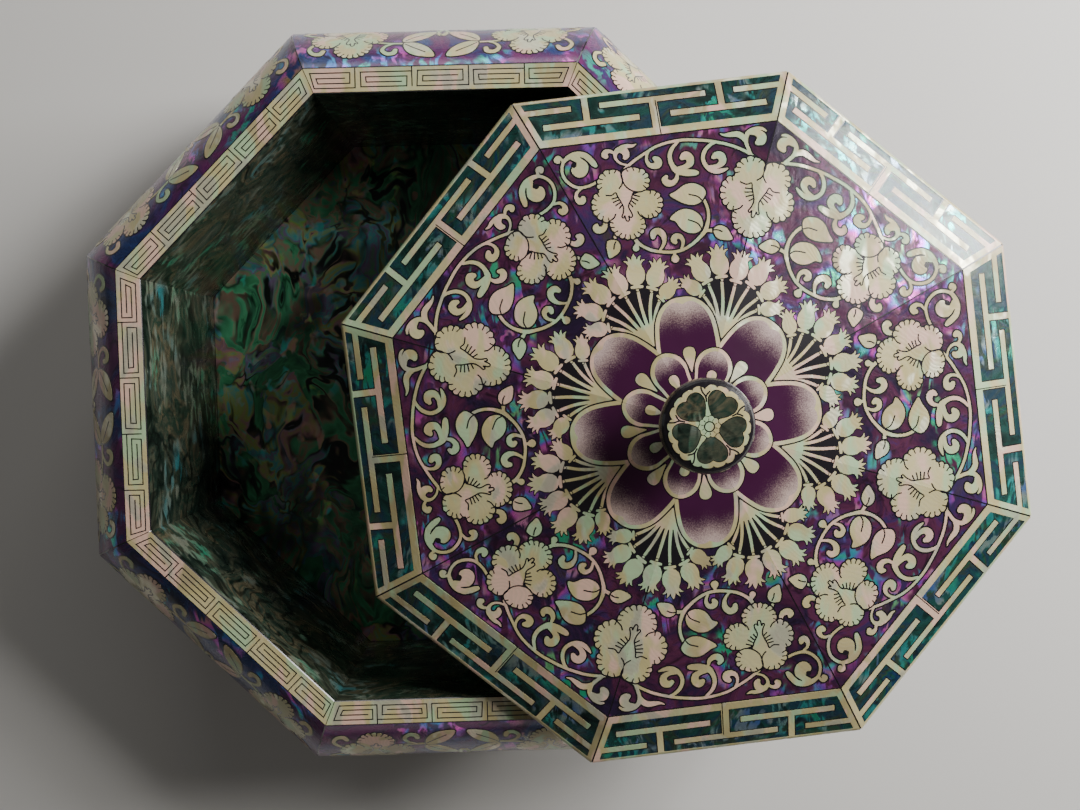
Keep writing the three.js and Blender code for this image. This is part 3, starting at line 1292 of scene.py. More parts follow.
LEAF_VINES = [
    # The vine that loops down under the leaves.
    [(-14.6, 71.8, 1.2), (-13.4, 69.6, 1.3), (-11.5, 67.8, 1.1), (-8.5, 66, 1.1), (-5, 65, 1.1),
     (-1, 64.4, 1.1), (3, 64.8, 1.1), (7, 66.6, 1.1), (10, 68.8, 1.2), (12, 70.6, 1.5),
     (13.2, 72.6, 1.4), (14.3, 76, 1.1), (14.4, 79.5, 1.1), (13.6, 82.5, 1.1), (12.4, 84.4, 0.9)],
    [(-13.4, 69.6, 1), (-14.1, 68, 1.9), (-14.3, 67.5, 2.4)],
    [(-0.3, 64.2, 1), (-0.3, 62.8, 1.4), (-0.3, 61.8, 3)],
    [(-5.5, 65.6, 0.8), (-4.3, 67, 1), (-3.4, 69, 1.5), (-3.6, 71.4, 2.2), (-5.2, 73, 2.4),
     (-7, 72.4, 2.4), (-7.4, 70.9, 1.7)],
    [(2.6, 65.4, 0.9), (3.3, 66.8, 1.1), (3.5, 68.4, 1.4), (2.6, 70, 1.8), (1, 70.1, 2.2),
     (0.1, 69, 2.2), (0.6, 68, 1.6)],
    [(12.6, 70.9, 1), (14, 70.9, 1.2), (15.8, 70.6, 1.6)],
    [(-21, 74.6, 0.8), (-21.6, 72.5, 1), (-21.8, 71, 1)],
    [(-24.6, 79.6, 1.2), (-24.5, 77.8, 1.6), (-25.4, 76.3, 2.2), (-27.2, 76, 2.6),
     (-28.2, 76.9, 2.4), (-27.8, 77.9, 1.4)],
]

LEAVES = [
    ([(1, 86.1), (3.5, 87.3), (7, 89.3), (10.5, 89.5), (13.5, 87.8), (14.6, 85.6), (13.6, 83.6),
      (12, 82), (9.5, 81.3), (6.5, 82), (3.5, 83.8)],
     [(12.8, 82.5), (11.3, 84.3), (8, 85.6)]),
    ([(-0.2, 77), (2, 79), (5, 80.1), (8, 79.6), (10.8, 77.5), (11.8, 75), (11.6, 73),
      (10.4, 71.3), (8.5, 70.6), (6, 71), (4, 72.3), (2.8, 74), (1.8, 75.8)],
     [(11.2, 71.5), (10, 74), (6.5, 76)]),
    ([(15.5, 71), (17, 72.2), (19, 72.1), (20.6, 70.8), (21.3, 69.2), (22, 66.6), (19.5, 66.5),
      (17, 67.3), (15.8, 68.8)],
     [(15, 70.9), (17, 70.7), (18.7, 69.8)]),
    ([(-24.6, 71.3), (-25.2, 69), (-25, 67), (-24.6, 65), (-22.3, 65.7), (-20.6, 67), (-20, 69),
      (-20.6, 70.8), (-22, 71.6), (-23.5, 71.7)],
     [(-21.4, 71), (-22.2, 69.6), (-22.6, 68)]),
]

FIRST_PEONY = (-16.0, 86.0)
RIDGE_PEONY = (33.97, 82.0)

# Buds of a fan: place along the ridge, place across it, lean in degrees and size.
BUDS = [
    (60.0, 0.0, 0.0, 0.98),
    (59.8, 7.7, 23.5, 0.98),
    (55.3, 13.8, 45.0, 0.94),
    (48.3, 15.0, 71.0, 0.78),
]
# From a bud's middle back to its stem, and where the stems spring from the ridge.
BUD_NECK = 5.4
STEM_ROOT = 39.2
STEM_STEP = 1.3


def bud_outline():
    """A bud seen from the side, pointing up, with a crown of five tips."""
    right = [
        (0.8, -4.6), (2.1, -4.1), (3.2, -2.7), (3.6, -0.8), (3.4, 1.0), (2.7, 2.4), (2.5, 3.2),
        (3.2, 4.2), (4.3, 5.0), (3.1, 5.0), (2.2, 4.4), (2.3, 5.5), (2.8, 6.8), (1.7, 6.0),
        (1.0, 4.9), (0.8, 6.1), (0.0, 7.6),
    ]
    return right + [(-x, y) for x, y in right[-2::-1]]


def fan_buds():
    """Each bud of a fan once: its number, the side of the ridge it is on, and its place."""
    for across in (1, -1):
        for number, bud in enumerate(BUDS):
            if number > 0 or across > 0:
                yield number, across, bud


def fan(sheet, side):
    """A fan of seven buds on stems that spring from one ridge."""
    backing = [(26, 0), (34, 6.5), (42, 10.0), (48, 12.6), (54, 11.5), (58, 6.5), (59, 0)]
    sheet.lay("dark", blobs=[on_ridge(side, mirrored(backing))], joint=0.0)
    stems = []
    for number, across, (a, b, lean, size) in fan_buds():
        a -= BUD_NECK * size * math.cos(math.radians(lean))
        b -= BUD_NECK * size * math.sin(math.radians(lean))
        root = (STEM_ROOT, number * STEM_STEP * across)
        middle = (root[0] * 0.52 + a * 0.48 + 0.5, root[1] * 0.58 + b * across * 0.42)
        path = [
            (*seam_point(side, *root), 1.25),
            (*seam_point(side, *middle), 1.15),
            (*seam_point(side, a, b * across), 1.05),
        ]
        stems.append(smooth(path, 6))
    wedge = [(30.4, 0), (33.4, 1.7), (36.6, 3.5), (39.4, 4.6), (40.2, 3.4), (41.0, 1.6), (41.2, 0)]
    sheet.lay("pearl", strokes=stems, blobs=[on_ridge(side, mirrored(wedge))], joint=0.2)
    for _, across, (a, b, lean, size) in fan_buds():
        turn = -side * (22.5 + lean * across)
        centre = seam_point(side, a, b * across)
        bud = turned(bud_outline(), centre, size, turn)
        collar = turned([(-1.9, -5.4, 1.1), (0, -5.2, 1.5), (1.9, -5.4, 1.1)], centre, size, turn)
        foot = turned([(0, -5.2, 1.6), (0, -6.6, 1.0)], centre, size, turn)
        sheet.lay("pearl", strokes=[foot], joint=0.25)
        sheet.lay("pearl", strokes=[collar], blobs=[bud], joint=0.3)


def large_petal():
    """The outline of a petal of the middle flower, standing on the axis."""
    right = [(11.8, 28.0), (11.8, 31.0), (11.5, 35.0), (10.9, 38.5), (9.6, 41.8), (7.6, 44.4),
             (4.9, 46.3), (2.3, 47.1), (0.0, 47.2)]
    return smooth([(-x, y) for x, y in right] + right[-2::-1], 4)


# Where a petal starts under the petals or the knob before it.
PETAL_START = 10.0
SMALL_PETAL_START = 9


def middle_flower(sheet):
    """Eight large petals, eight small ones on the ridges before them, and the drops."""
    large = large_petal().tolist()
    outline = large + [(11.8, PETAL_START), (-11.8, PETAL_START)]
    sheet.lay("pearl", blobs=[outline], joint=0.55)
    inner = [(x * 0.875, 28 + (y - 28) * 0.935) for x, y in large]
    # A cusp at the tip, so that the colour ends in a heart's two lobes.
    inner = [(x, y - 1.5 * max(0.0, 1 - abs(x) / 4.2) ** 1.6 * (y > 40)) for x, y in inner]
    inner += [(10.3, PETAL_START), (-10.3, PETAL_START)]
    sheet.lay("petal", blobs=[inner], joint=0.0)
    small = [(28.8, 0), (28.3, 2.4), (26.6, 4.8), (24.2, 6.4), (21.4, 6.9), (18.6, 6.4)]
    small.append((SMALL_PETAL_START, 3.5))
    inset = [(SMALL_PETAL_START + (a - SMALL_PETAL_START) * 0.935, b * 0.8) for a, b in small]
    for side in (1, -1):
        outer = smooth(on_ridge(side, mirrored(small)), 4, closed=True)
        sheet.lay("pearl", blobs=[outer], joint=0.4)
        inner = smooth(on_ridge(side, mirrored(inset)), 4, closed=True)
        sheet.lay("small_petal", blobs=[inner], joint=0.0)
    drop = [(0, 28.5), (1.7, 27.9), (2.3, 26.2), (1.8, 24.0), (0.9, 21.6), (0, 19)]
    drop += [(-x, y) for x, y in drop[-2:0:-1]]
    sheet.lay("pearl", blobs=[smooth(drop, 4, closed=True)], joint=0.35)
    drop = [(20.2, 0), (19.7, 1.3), (18.4, 1.8), (16.6, 1.4), (14.2, 0)]
    for side in (1, -1):
        outline = smooth(on_ridge(side, mirrored(drop)), 4, closed=True)
        sheet.lay("pearl", blobs=[outline], joint=0.35)


def field_sheet():
    """The drawing of one side of the lid's field."""
    sheet = Sheet(-46.5, 46.5, 8.0, 110.4)
    sheet.lay("pearl", strokes=[smooth(vine, 5) for vine in FIELD_VINES])
    # A dot and a stroke cut in the corner scroll.
    sheet.cut(blobs=[disc((-33.4, 101.9), 1.05)])
    sheet.cut(strokes=[smooth([(-30.5, 104.6, 0.45), (-28.9, 103.2, 0.45), (-27.7, 101.8, 0.45)], 4)])
    sheet.lay("pearl", strokes=[smooth(vine, 5) for vine in LEAF_VINES])
    for outline, midrib in LEAVES:
        leaf(sheet, outline, midrib)
    peony(sheet, FIRST_PEONY)
    peony(sheet, RIDGE_PEONY, 1.12, -22.5)
    for side in (1, -1):
        fan(sheet, side)
    middle_flower(sheet)
    s = sheet.s[None, :]
    t = sheet.t[:, None]
    # The motifs that lie on a ridge run through it. All others stop short of it.
    on_peony = np.hypot(s - RIDGE_PEONY[0], t - RIDGE_PEONY[1]) < 17.5
    on_flower = np.hypot(s, t) < 64.0
    gap = np.where(on_peony | on_flower, 0.0, RIDGE_GAP)
    ridge = np.abs(s) * HALF_COS - t * HALF_SIN + gap
    sheet.keep_inside(np.maximum(np.maximum(ridge, t - 109.3), 9.4 - t))
    return sheet


# A side, and its neighbour with the drawing turned over, so that the two meet on their ridge.
EVEN_AND_ODD = ((0, False), (1, True))


def between_ridges(bm):
    """Clip a drawing at the two ridges of a side."""
    for side in (1, -1):
        cut_along(bm, (0.0, 0.0), (side * HALF_COS, -HALF_SIN), clear=True)
    return bm


def large_petal_place(marks):
    """Where on a large petal a point lies: across it, and along it from root to tip."""
    return np.stack([marks[:, 0] / 11.0, (marks[:, 1] - 35.0) / 10.5], axis=1)


def small_petal_place(marks):
    """The same for a small petal, which stands on a ridge."""
    side = np.sign(marks[:, 0])
    along = HALF_SIN * np.abs(marks[:, 0]) + HALF_COS * marks[:, 1]
    across = HALF_COS * np.abs(marks[:, 0]) - HALF_SIN * marks[:, 1]
    return np.stack([side * across / 6.6, (along - 20.5) / 7.0], axis=1)


def build_field():
    """Violet ground, black joints, pearl motifs, the stippled petals and the lines cut in them."""
    sheet = field_sheet()
    high = sizes().shell_height / MM
    ground = facet(PAD + 0.3, FIELD_OUTER - 0.3, RIDGE_GAP)
    # Each piece's name, drawing, height over the frame and finish, and a petal's own coordinates.
    layers = [
        ("lid_ground", outlined(ground), 0.09, "violet", None),
        ("lid_joints", drawn(sheet, "dark", 0.045), 0.13, "black", None),
        ("lid_pearl", drawn(sheet, "pearl"), high, "pearl", None),
        ("lid_petals", drawn(sheet, "petal"), high, "petal", large_petal_place),
        ("lid_small_petals", drawn(sheet, "small_petal"), high, "petal", small_petal_place),
        ("lid_lines", between_ridges(ribbons(sheet.lines)), high + 0.02, "black", None),
    ]
    for name, flat, height, look, place_on in layers:
        mesh = plate_mesh(flat, lid_surface, EVEN_AND_ODD, SUNK, height, place_on)
        piece(name, mesh, look, 4, LID_PLACE)


# The lid's border.


# Where the pale frame ends at the field and at the edge, and how wide it is at the ridges.
FRAME_INNER = 112.9
FRAME_OUTER = 128.6
FRAME_SIDE = 2.8
# The long bar nearest the edge, and how far it stays from the ridges.
BAR_LOW = 123.6
BAR_HIGH = 125.8
BAR_GAP = 0.6
# Beyond the ridges, where everything is clipped.
BORDER_REACH = 60


def border_sheet():
    """The drawing of one side of the border."""
    sheet = Sheet(-56.0, 56.0, 108.5, 132.5, 0.16)
    sheet.lay("green", blobs=[facet(FRAME_INNER, FRAME_OUTER, FRAME_SIDE)], joint=0.35)
    bars = [bar(-1.5, 1.5, 112.0, 124.5), bar(-20.5, 20.5, BAR_LOW, BAR_HIGH)]
    for side in (1, -1):
        bars.append(bar(side * 24.8, side * 27.2, 118.0, 129.5))
        bars.append(bar(side * 6.0, side * 43.0, 116.9, 119.2))
        bars.append([
            (side * 31.5, BAR_LOW),
            (side * (BAR_LOW * HALF_TAN - BAR_GAP), BAR_LOW),
            (side * (BAR_HIGH * HALF_TAN - BAR_GAP), BAR_HIGH),
            (side * 31.5, BAR_HIGH),
        ])
    sheet.lay("pearl", blobs=bars, joint=0.45)
    frame_parts = [
        bar(-BORDER_REACH, BORDER_REACH, FRAME_OUTER, 133),
        bar(-BORDER_REACH, BORDER_REACH, 109.9, FRAME_INNER),
    ]
    for side in (1, -1):
        frame_parts.append([
            (side * (108 * HALF_TAN - 2.7), 108),
            (side * (108 * HALF_TAN + 6), 108),
            (side * (133 * HALF_TAN + 6), 133),
            (side * (133 * HALF_TAN - 2.7), 133),
        ])
    sheet.lay("pearl", blobs=frame_parts, joint=0.0)
    # A joint beside the middle bar.
    sheet.cut(strokes=[np.array([(1.0, 109.0, 0.4), (1.0, 124.0, 0.4)])])
    s = sheet.s[None, :]
    t = sheet.t[:, None]
    round_end = LID_EDGE_START + LID_EDGE_RADIUS * math.pi / 2
    ridge = np.abs(s) * HALF_COS - np.minimum(t, LID_OUTER) * HALF_SIN + 0.3
    sheet.keep_inside(np.maximum(np.maximum(ridge, 109.95 - t), t - round_end))
    return sheet


def build_border():
    """Green shell in black joints, with a fret of pale bars and a pale frame."""
    sheet = border_sheet()
    bends = [LID_EDGE_START + LID_EDGE_RADIUS * math.radians(a) for a in (0, 22.5, 45, 67.5)]
    high = sizes().shell_height / MM
    # Each piece's name, drawing, height over the frame and finish.
    layers = [
        ("border_joints", "dark", 0.09, "black"),
        ("border_green", "green", 0.13, "green"),
        ("border_pearl", "pearl", high, "pearl"),
    ]
    for name, field, height, look in layers:
        flat = creased(drawn(sheet, field), bends)
        mesh = plate_mesh(flat, lid_surface, EVEN_AND_ODD, SUNK, height)
        piece(name, mesh, look, 4, LID_PLACE, soft=True)


# The rim.

RIM_LINES = [
    # First unit, whose far end slants with the mitre.
    [(-33.3, 129.9), (-33.4, 122.1), (-49.4, 122.1), (-51.0, 128.0), (-35.3, 128.0),
     (-35.4, 123.9), (-47.9, 123.9), (-48.6, 125.9), (-37.2, 125.9)],
    # Second and fourth units.
    [(-11.1, 129.9), (-11.1, 122.2)],
    [(-11.1, 128.1), (-31.2, 128.1), (-31.1, 122.4), (-13.2, 122.4), (-13.0, 126.2),
     (-29.2, 126.2), (-29.0, 124.2), (-15.0, 124.2)],
    [(33.0, 129.9), (33.0, 128.1), (13.0, 128.1), (13.1, 122.4), (30.8, 122.4), (31.0, 126.2),
     (15.0, 126.2), (15.2, 124.2), (29.0, 124.2)],
    # Middle unit.
    [(11.1, 129.9), (11.1, 122.3), (-9.2, 122.3), (-8.8, 128.3), (8.9, 128.3), (8.9, 124.1),
     (-6.9, 124.1), (-6.8, 126.2), (7.0, 126.2)],
    # Last unit, the first one turned over.
    [(33.0, 129.9), (33.0, 122.2), (48.0, 122.2), (50.4, 128.0), (34.8, 128.0), (34.8, 124.0),
     (46.6, 124.0), (47.7, 126.0), (36.6, 126.0)],
]


def mitred(points, width):
    """A bent line as a flat strip with true corners."""
    path = np.array(points, float)
    left = []
    right = []
    for k in range(len(path)):
        before = path[k] - path[max(k - 1, 0)]
        after = path[min(k + 1, len(path) - 1)] - path[k]
        if k == 0:
            before = after
        if k == len(path) - 1:
            after = before
        before = before / math.hypot(*before)
        after = after / math.hypot(*after)
        normal = np.array([-(before + after)[1], (before + after)[0]])
        normal /= math.hypot(*normal)
        stretch = width / 2 / max(0.35, float(normal @ np.array([-before[1], before[0]])))
        left.append(path[k] + normal * stretch)
        right.append(path[k] - normal * stretch)
    return left, right


def strips(lines, width):
    """Bent lines as flat strips."""
    bm = bmesh.new()
    for points in lines:
        left, right = mitred(points, width)
        left = [bm.verts.new((*p, 0.0)) for p in left]
        right = [bm.verts.new((*p, 0.0)) for p in right]
        for k in range(len(left) - 1):
            bm.faces.new((right[k], right[k + 1], left[k + 1], left[k]))
    return bm


# Where the band is cut across, its inset from the rim's edges, and the width of the fret's lines.
RIM_CUTS = (-33.3, -11.1, 11.1, 33.0)
RIM_INSET = 0.2
RIM_RIDGE_GAP = 0.16
RIM_LINE_WIDTH = 0.42


def build_rim():
    """A pale band with a key fret cut in it."""
    high = sizes().shell_height / MM
    shell = outlined(facet(RIM_INNER + RIM_INSET, RIM_OUTER - RIM_INSET, RIM_RIDGE_GAP))
    for cut in RIM_CUTS:
        cut_along(shell, (cut, 0.0), (1.0, 0.0))
    # Split there, so that each unit is a plate with a tone of its own.
    dividers = []
    for edge in shell.edges:
        start_vert, end_vert = edge.verts
        if len(edge.link_faces) == 2 and abs(start_vert.co.x - end_vert.co.x) < 1e-4:
            dividers.append(edge)
    bmesh.ops.split_edges(shell, edges=dividers)
    mesh = plate_mesh(shell, rim_surface, ((0, False),), SUNK, high)
    piece("rim_pearl", mesh, "pearl", SIDES)
    lines = strips(RIM_LINES, RIM_LINE_WIDTH)
    mesh = plate_mesh(lines, rim_surface, ((0, False),), SUNK, high + 0.03)
    piece("rim_lines", mesh, "black", SIDES)


# The belly.

BELLY_VINES = [
    [(26.0, 15.5, 1.0), (21.0, 14.6, 1.0), (17.0, 14.4, 1.1), (13.5, 14.2, 1.0)],
    [(19.0, 14.4, 0.9), (22.0, 12.5, 1.1), (23.2, 9.6, 1.6), (21.2, 7.2, 2.0), (18.6, 7.6, 2.2),
     (18.0, 9.6, 1.8)],
    [(47.0, 16.5, 1.0), (50.5, 14.5, 1.1), (52.2, 11.2, 1.4), (50.6, 8.2, 1.8), (47.8, 7.8, 2.2),
     (46.6, 9.6, 1.8)],
    [(48.5, 23.0, 1.0), (52.5, 24.0, 1.2), (55.6, 26.4, 1.5), (55.2, 29.0, 2.0), (53.0, 29.4, 1.8)],
    [(36.0, 34.0, 1.0), (36.5, 40.0, 1.1), (33.0, 46.0, 1.1), (26.0, 49.0, 1.1), (18.0, 50.0, 1.0)],
    [(35.0, 43.0, 0.9), (40.0, 44.0, 1.2), (43.0, 47.5, 1.7), (41.0, 51.0, 2.2), (37.8, 50.0, 2.4)],
    [(36.6, 38.0, 0.9), (42.0, 38.0, 1.2), (47.0, 40.5, 1.5), (49.0, 45.0, 1.9), (46.2, 48.2, 2.2)],
    [(0.4, 33.0, 1.1), (1.8, 29.6, 1.2), (1.8, 25.6, 1.5), (0.6, 22.6, 2.0)],
]
BELLY_LEAVES = [
    ([(14.9, 14.2), (13.8, 9.2), (9.8, 5.8), (2.6, 5.0), (4.2, 9.8), (8.2, 13.6), (12.2, 15.1)],
     [(14.4, 13.8), (10.6, 10.8), (6.0, 7.8)]),
    ([(14.9, 15.6), (11.2, 16.0), (7.2, 18.4), (4.0, 22.4), (2.8, 27.2), (8.4, 26.8), (12.8, 23.2),
      (15.2, 18.8)],
     [(14.4, 16.4), (11.0, 19.8), (6.8, 23.4)]),
    ([(57.0, 36.0), (54.0, 40.0), (54.0, 45.5), (57.0, 50.5), (60.0, 45.5), (60.0, 40.0)],
     [(57.0, 37.0), (56.6, 42.0), (57.0, 47.0)]),
]


# How far the peonies stand from the rim or the foot and from the side's middle, and their scales.
BELLY_PEONY_DOWN = 22.0
BELLY_PEONY_ASIDE = 36.5
BELLY_PEONY_SCALE = 1.14
MIDDLE_PEONY_SCALE = 1.3


def belly_sheet():
    """One side of the belly: a scroll along the rim and its mirror along the foot, a peony between."""
    sheet = Sheet(-66.0, 66.0, -1.0, ARC_LENGTH + 1.0)
    flips = [(1, False), (-1, False), (1, True), (-1, True)]

    def flipped(points, side, low):
        return [(side * p[0], ARC_LENGTH - p[1] if low else p[1], *p[2:]) for p in points]

    for side, low in flips:
        sheet.lay("pearl", strokes=[smooth(flipped(vine, side, low), 5) for vine in BELLY_VINES])
        for outline, midrib in BELLY_LEAVES:
            leaf(sheet, flipped(outline, side, low), flipped(midrib, side, low))
    for side, low in flips:
        turn = (180 if low else 0) + side * (8 if low else -8)
        down = ARC_LENGTH - BELLY_PEONY_DOWN if low else BELLY_PEONY_DOWN
        peony(sheet, (side * BELLY_PEONY_ASIDE, down), BELLY_PEONY_SCALE, turn)
    peony(sheet, (0.0, ARC_LENGTH / 2), MIDDLE_PEONY_SCALE, 180)
    s = sheet.s[None, :]
    v = sheet.t[:, None]
    reach = ARC_MIDDLE + ARC_RADIUS * np.cos(ARC_SWEEP - np.clip(v, 0, ARC_LENGTH) / ARC_RADIUS)
    mask = np.abs(s) - reach * HALF_TAN + 0.3
    mask = np.maximum(np.maximum(mask, 0.4 - v), v - ARC_LENGTH + 0.6)
    sheet.keep_inside(mask)
    sheet.field("ground")[:] = mask
    return sheet


def build_belly():
    """The belly's ground, joints, pearl motifs and the lines cut in them, bent round its arc."""
    sheet = belly_sheet()
    high = sizes().shell_height / MM
    bends = [ARC_LENGTH * k / (2 * ARC_STEPS) for k in range(1, 2 * ARC_STEPS)]
    # Each piece's name, drawing, height over the frame and finish.
    layers = [
        ("belly_ground", drawn(sheet, "ground", 0.02), 0.1, "belly"),
        ("belly_joints", drawn(sheet, "dark", 0.05), 0.15, "black"),
        ("belly_pearl", drawn(sheet, "pearl", 0.045), high + 0.03, "pearl"),
        ("belly_lines", ribbons(sheet.lines), high + 0.05, "black"),
    ]
    for name, flat, height, look in layers:
        mesh = plate_mesh(creased(flat, bends), belly_surface, ((0, True),), BELLY_SUNK, height)
        piece(name, mesh, look, SIDES, soft=True)


# The well's lining.

LINING_HEIGHT = 0.12


def build_lining():
    """Natural abalone over the well's walls and floor."""
    half = RIM_INNER * HALF_TAN - 0.08
    wall = outlined(bar(-half, half, FLOOR_TOP + 0.2, RIM_TOP - 1.0))
    mesh = plate_mesh(wall, wall_surface, ((0, True),), SUNK, LINING_HEIGHT)
    piece("well_wall_lining", mesh, "wall", SIDES)
    reach = (RIM_INNER - 0.2) / HALF_COS
    corners = [math.radians(22.5 + 45 * k) for k in range(SIDES)]
    floor = outlined([(reach * math.cos(a), reach * math.sin(a)) for a in corners])
    mesh = plate_mesh(floor, floor_surface, ((0, False),), SUNK, LINING_HEIGHT)
    piece("well_floor_lining", mesh, "lining", 1)


# The knob.

KNOB_TOP = 20.3
KNOB_PLATE = 14.7
KNOB_PLATE_HEIGHT = 19.4
HEART_ANGLES = (126, 54, -18, -90, 198)


def knob_surface(side, s, t, lift):
    """The knob's crown, from the middle outwards, in the lid's frame."""
    reach = np.clip(np.hypot(s, t) / KNOB_PLATE, 0.0, 1.0)
    rise = (KNOB_TOP - KNOB_PLATE_HEIGHT) * np.sqrt(1 - reach * reach)
    z = PAD_HEIGHT + KNOB_PLATE_HEIGHT + rise + lift
    return np.stack([s, t, z], axis=1) * MM


def heart():
    """A heart-shaped petal pointing along +x, its point towards the middle."""
    upper = [(3.0, 0.0), (4.6, 2.0), (6.6, 4.0), (9.0, 5.2), (11.3, 4.8), (12.4, 3.1), (12.3, 1.3),
             (11.6, 0.0)]
    return smooth(mirrored(upper), 4, closed=True)


def scalloped_plate():
    """The plate's edge: twenty dents, and five deeper waists between the hearts."""
    plate = []
    for k in range(240):
        angle = math.tau * k / 240
        dent = 1.0 - abs(math.sin(10 * angle)) ** 0.5
        waist = max(0.0, math.cos(5 * (angle - math.radians(18)))) ** 6
        reach = 14.6 - 0.9 * dent - 0.7 * waist
        plate.append((reach * math.cos(angle), reach * math.sin(angle)))
    return plate


def knob_sheet():
    """The drawing of the knob's crown."""
    sheet = Sheet(-15.4, 15.4, -15.4, 15.4, 0.1)
    middle = (0.0, 0.0)
    sheet.lay("pearl", blobs=[scalloped_plate()], joint=0.0)
    for degrees in HEART_ANGLES:
        sheet.lay("heart", blobs=[turned(heart().tolist(), middle, 1.0, degrees)], joint=0.3)
        split = [(8.6, 0.0), (10.6, 0.1), (12.0, 0.9), (13.6, 1.3), (14.4, 1.1)]
        arm = [(10.2, 0.1), (11.3, -0.6), (12.2, -1.7)]
        for path in (split, arm):
            sheet.line(turned(path, middle, 1.0, degrees + 36), 0.52)
    rosette = [turned(disc((2.75, 0), 1.05), middle, 1.0, 36 * k) for k in range(10)]
    sheet.lay("pearl", blobs=rosette + [disc(middle, 2.7, 40)], joint=0.25)
    sheet.cut(blobs=[disc(middle, 1.95, 40)])
    sheet.lay("pearl", blobs=[disc(middle, 1.5, 40)], joint=0.0)
    for k in range(10):
        sheet.line(turned([(2.1, 0), (2.9, 0)], middle, 1.0, 36 * k + 18), 0.22)
    sheet.keep_inside(np.hypot(sheet.s[None, :], sheet.t[:, None]) - 14.5)
    return sheet


def build_knob():
    """A pale scalloped plate with five dark hearts round a rosette."""
    sheet = knob_sheet()
    # Each piece's name, drawing, height over the frame and finish.
    layers = [
        ("knob_pearl", drawn(sheet, "pearl", 0.03), 0.12, "pearl"),
        ("knob_hearts", drawn(sheet, "heart", 0.03), 0.12, "wall"),
        ("knob_lines", ribbons(sheet.lines), 0.14, "black"),
    ]
    for name, flat, height, look in layers:
        bmesh.ops.triangulate(flat, faces=flat.faces[:])
        flat = creased(flat, np.arange(-13.0, 13.5, 2.0))
        mesh = plate_mesh(flat, knob_surface, ((0, False),), KNOB_SUNK, height)
        piece(name, mesh, look, 1, LID_PLACE, soft=True)


# The frame's own parts, the stage, the lights and the camera.


def dress_frame():
    """Black lacquer on the frame's own parts."""
    for name in ("box_body", "lid", "knob"):
        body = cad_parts[name]
        body.data.materials.clear()
        body.data.materials.append(finish("black"))


def area_light(name, place, aim, size, power, colour):
    """A soft rectangular light."""
    data = bpy.data.lights.new(name, "AREA")
    data.shape = "RECTANGLE"
    data.size = size[0]
    data.size_y = size[1]
    data.energy = power
    data.color = colour
    lamp = bpy.data.objects.new(name, data)
    bpy.context.collection.objects.link(lamp)
    lamp.location = place
    lamp.rotation_euler = (Vector(aim) - Vector(place)).to_track_quat("-Z", "Y").to_euler()


STAGE_REACH = 3.0
STAGE_HEIGHT = -0.0004
SKY_COLOUR = (1.0, 0.98, 0.94, 1.0)
SKY_STRENGTH = 0.07
ON_BOX = (0.03, 0.0, 0.08)
ON_LID = (0.12, 0.03, 0.1)

# Each light's name, place, aim, size, power and colour. The first four stand on the photo's bright
# side, where the lid's facets mirror them as its glare.
LIGHTS = (
    ("key", (1.15, 0.47, 0.48), ON_LID, (0.5, 0.5), 19.0, (1.0, 0.99, 0.97)),
    ("high", (0.88, 0.36, 0.76), ON_LID, (0.24, 0.24), 6.5, (1.0, 0.99, 0.96)),
    ("glint", (0.74, 0.53, 0.55), (0.18, 0.08, 0.1), (0.26, 0.3), 6.0, (1.0, 1.0, 1.0)),
    ("spark", (0.62, 0.4, 0.71), (0.17, 0.09, 0.11), (0.09, 0.09), 1.5, (1.0, 1.0, 1.0)),
    ("back", (0.1, 1.5, 0.55), ON_BOX, (1.3, 0.4), 7.0, (1.0, 0.99, 0.97)),
    ("left", (-1.6, 0.3, 0.7), ON_BOX, (0.5, 1.0), 0.5, (0.9, 0.96, 1.0)),
    ("front", (-0.5, -1.6, 0.5), ON_BOX, (1.2, 0.4), 1.3, (1.0, 0.95, 0.88)),
)


def build_stage():
    """The plain floor, the weak even light all round and the lights."""
    mesh = bpy.data.meshes.new("stage_floor")
    corners = bar(-STAGE_REACH, STAGE_REACH, -STAGE_REACH, STAGE_REACH)
    mesh.from_pydata([(x, y, STAGE_HEIGHT) for x, y in corners], [], [(0, 1, 2, 3)])
    floor = bpy.data.objects.new("stage_floor", mesh)
    bpy.context.collection.objects.link(floor)
    mesh.materials.append(finish("stage"))
    world = bpy.data.worlds.new("studio")
    bpy.context.scene.world = world
    world.use_nodes = True
    sky = world.node_tree.nodes["Background"]
    sky.inputs["Color"].default_value = SKY_COLOUR
    sky.inputs["Strength"].default_value = SKY_STRENGTH
    for light in LIGHTS:
        area_light(*light)


# The camera, fitted to the corners of the box in the photo. The lean's rows are the camera's
# right, up and back before the spin.
FOCAL_PIXELS = 905
PHOTO_WIDTH = 1080
SENSOR_WIDTH = 36
CAMERA_PLACE = (0.03226, 0.00732, 0.4488)
CAMERA_LEAN = ((0.99995, 0.0, 0.0099), (0.0003, 0.9995, -0.0315), (-0.0099, 0.0315, 0.99945))
CAMERA_SPIN = math.radians(1.574)


def build_camera():
    """The camera at the photo's own place and angle."""
    data = bpy.data.cameras.new("camera")
    data.lens = FOCAL_PIXELS / PHOTO_WIDTH * SENSOR_WIDTH
    data.sensor_width = SENSOR_WIDTH
    data.clip_start = 0.01
    eye = bpy.data.objects.new("camera", data)
    bpy.context.collection.objects.link(eye)
    turn = (Matrix(CAMERA_LEAN) @ Matrix.Rotation(CAMERA_SPIN, 3, "Z")).transposed()
    eye.matrix_world = Matrix.Translation(CAMERA_PLACE) @ turn.to_4x4()
    bpy.context.scene.camera = eye


# Operators, panel and registration.


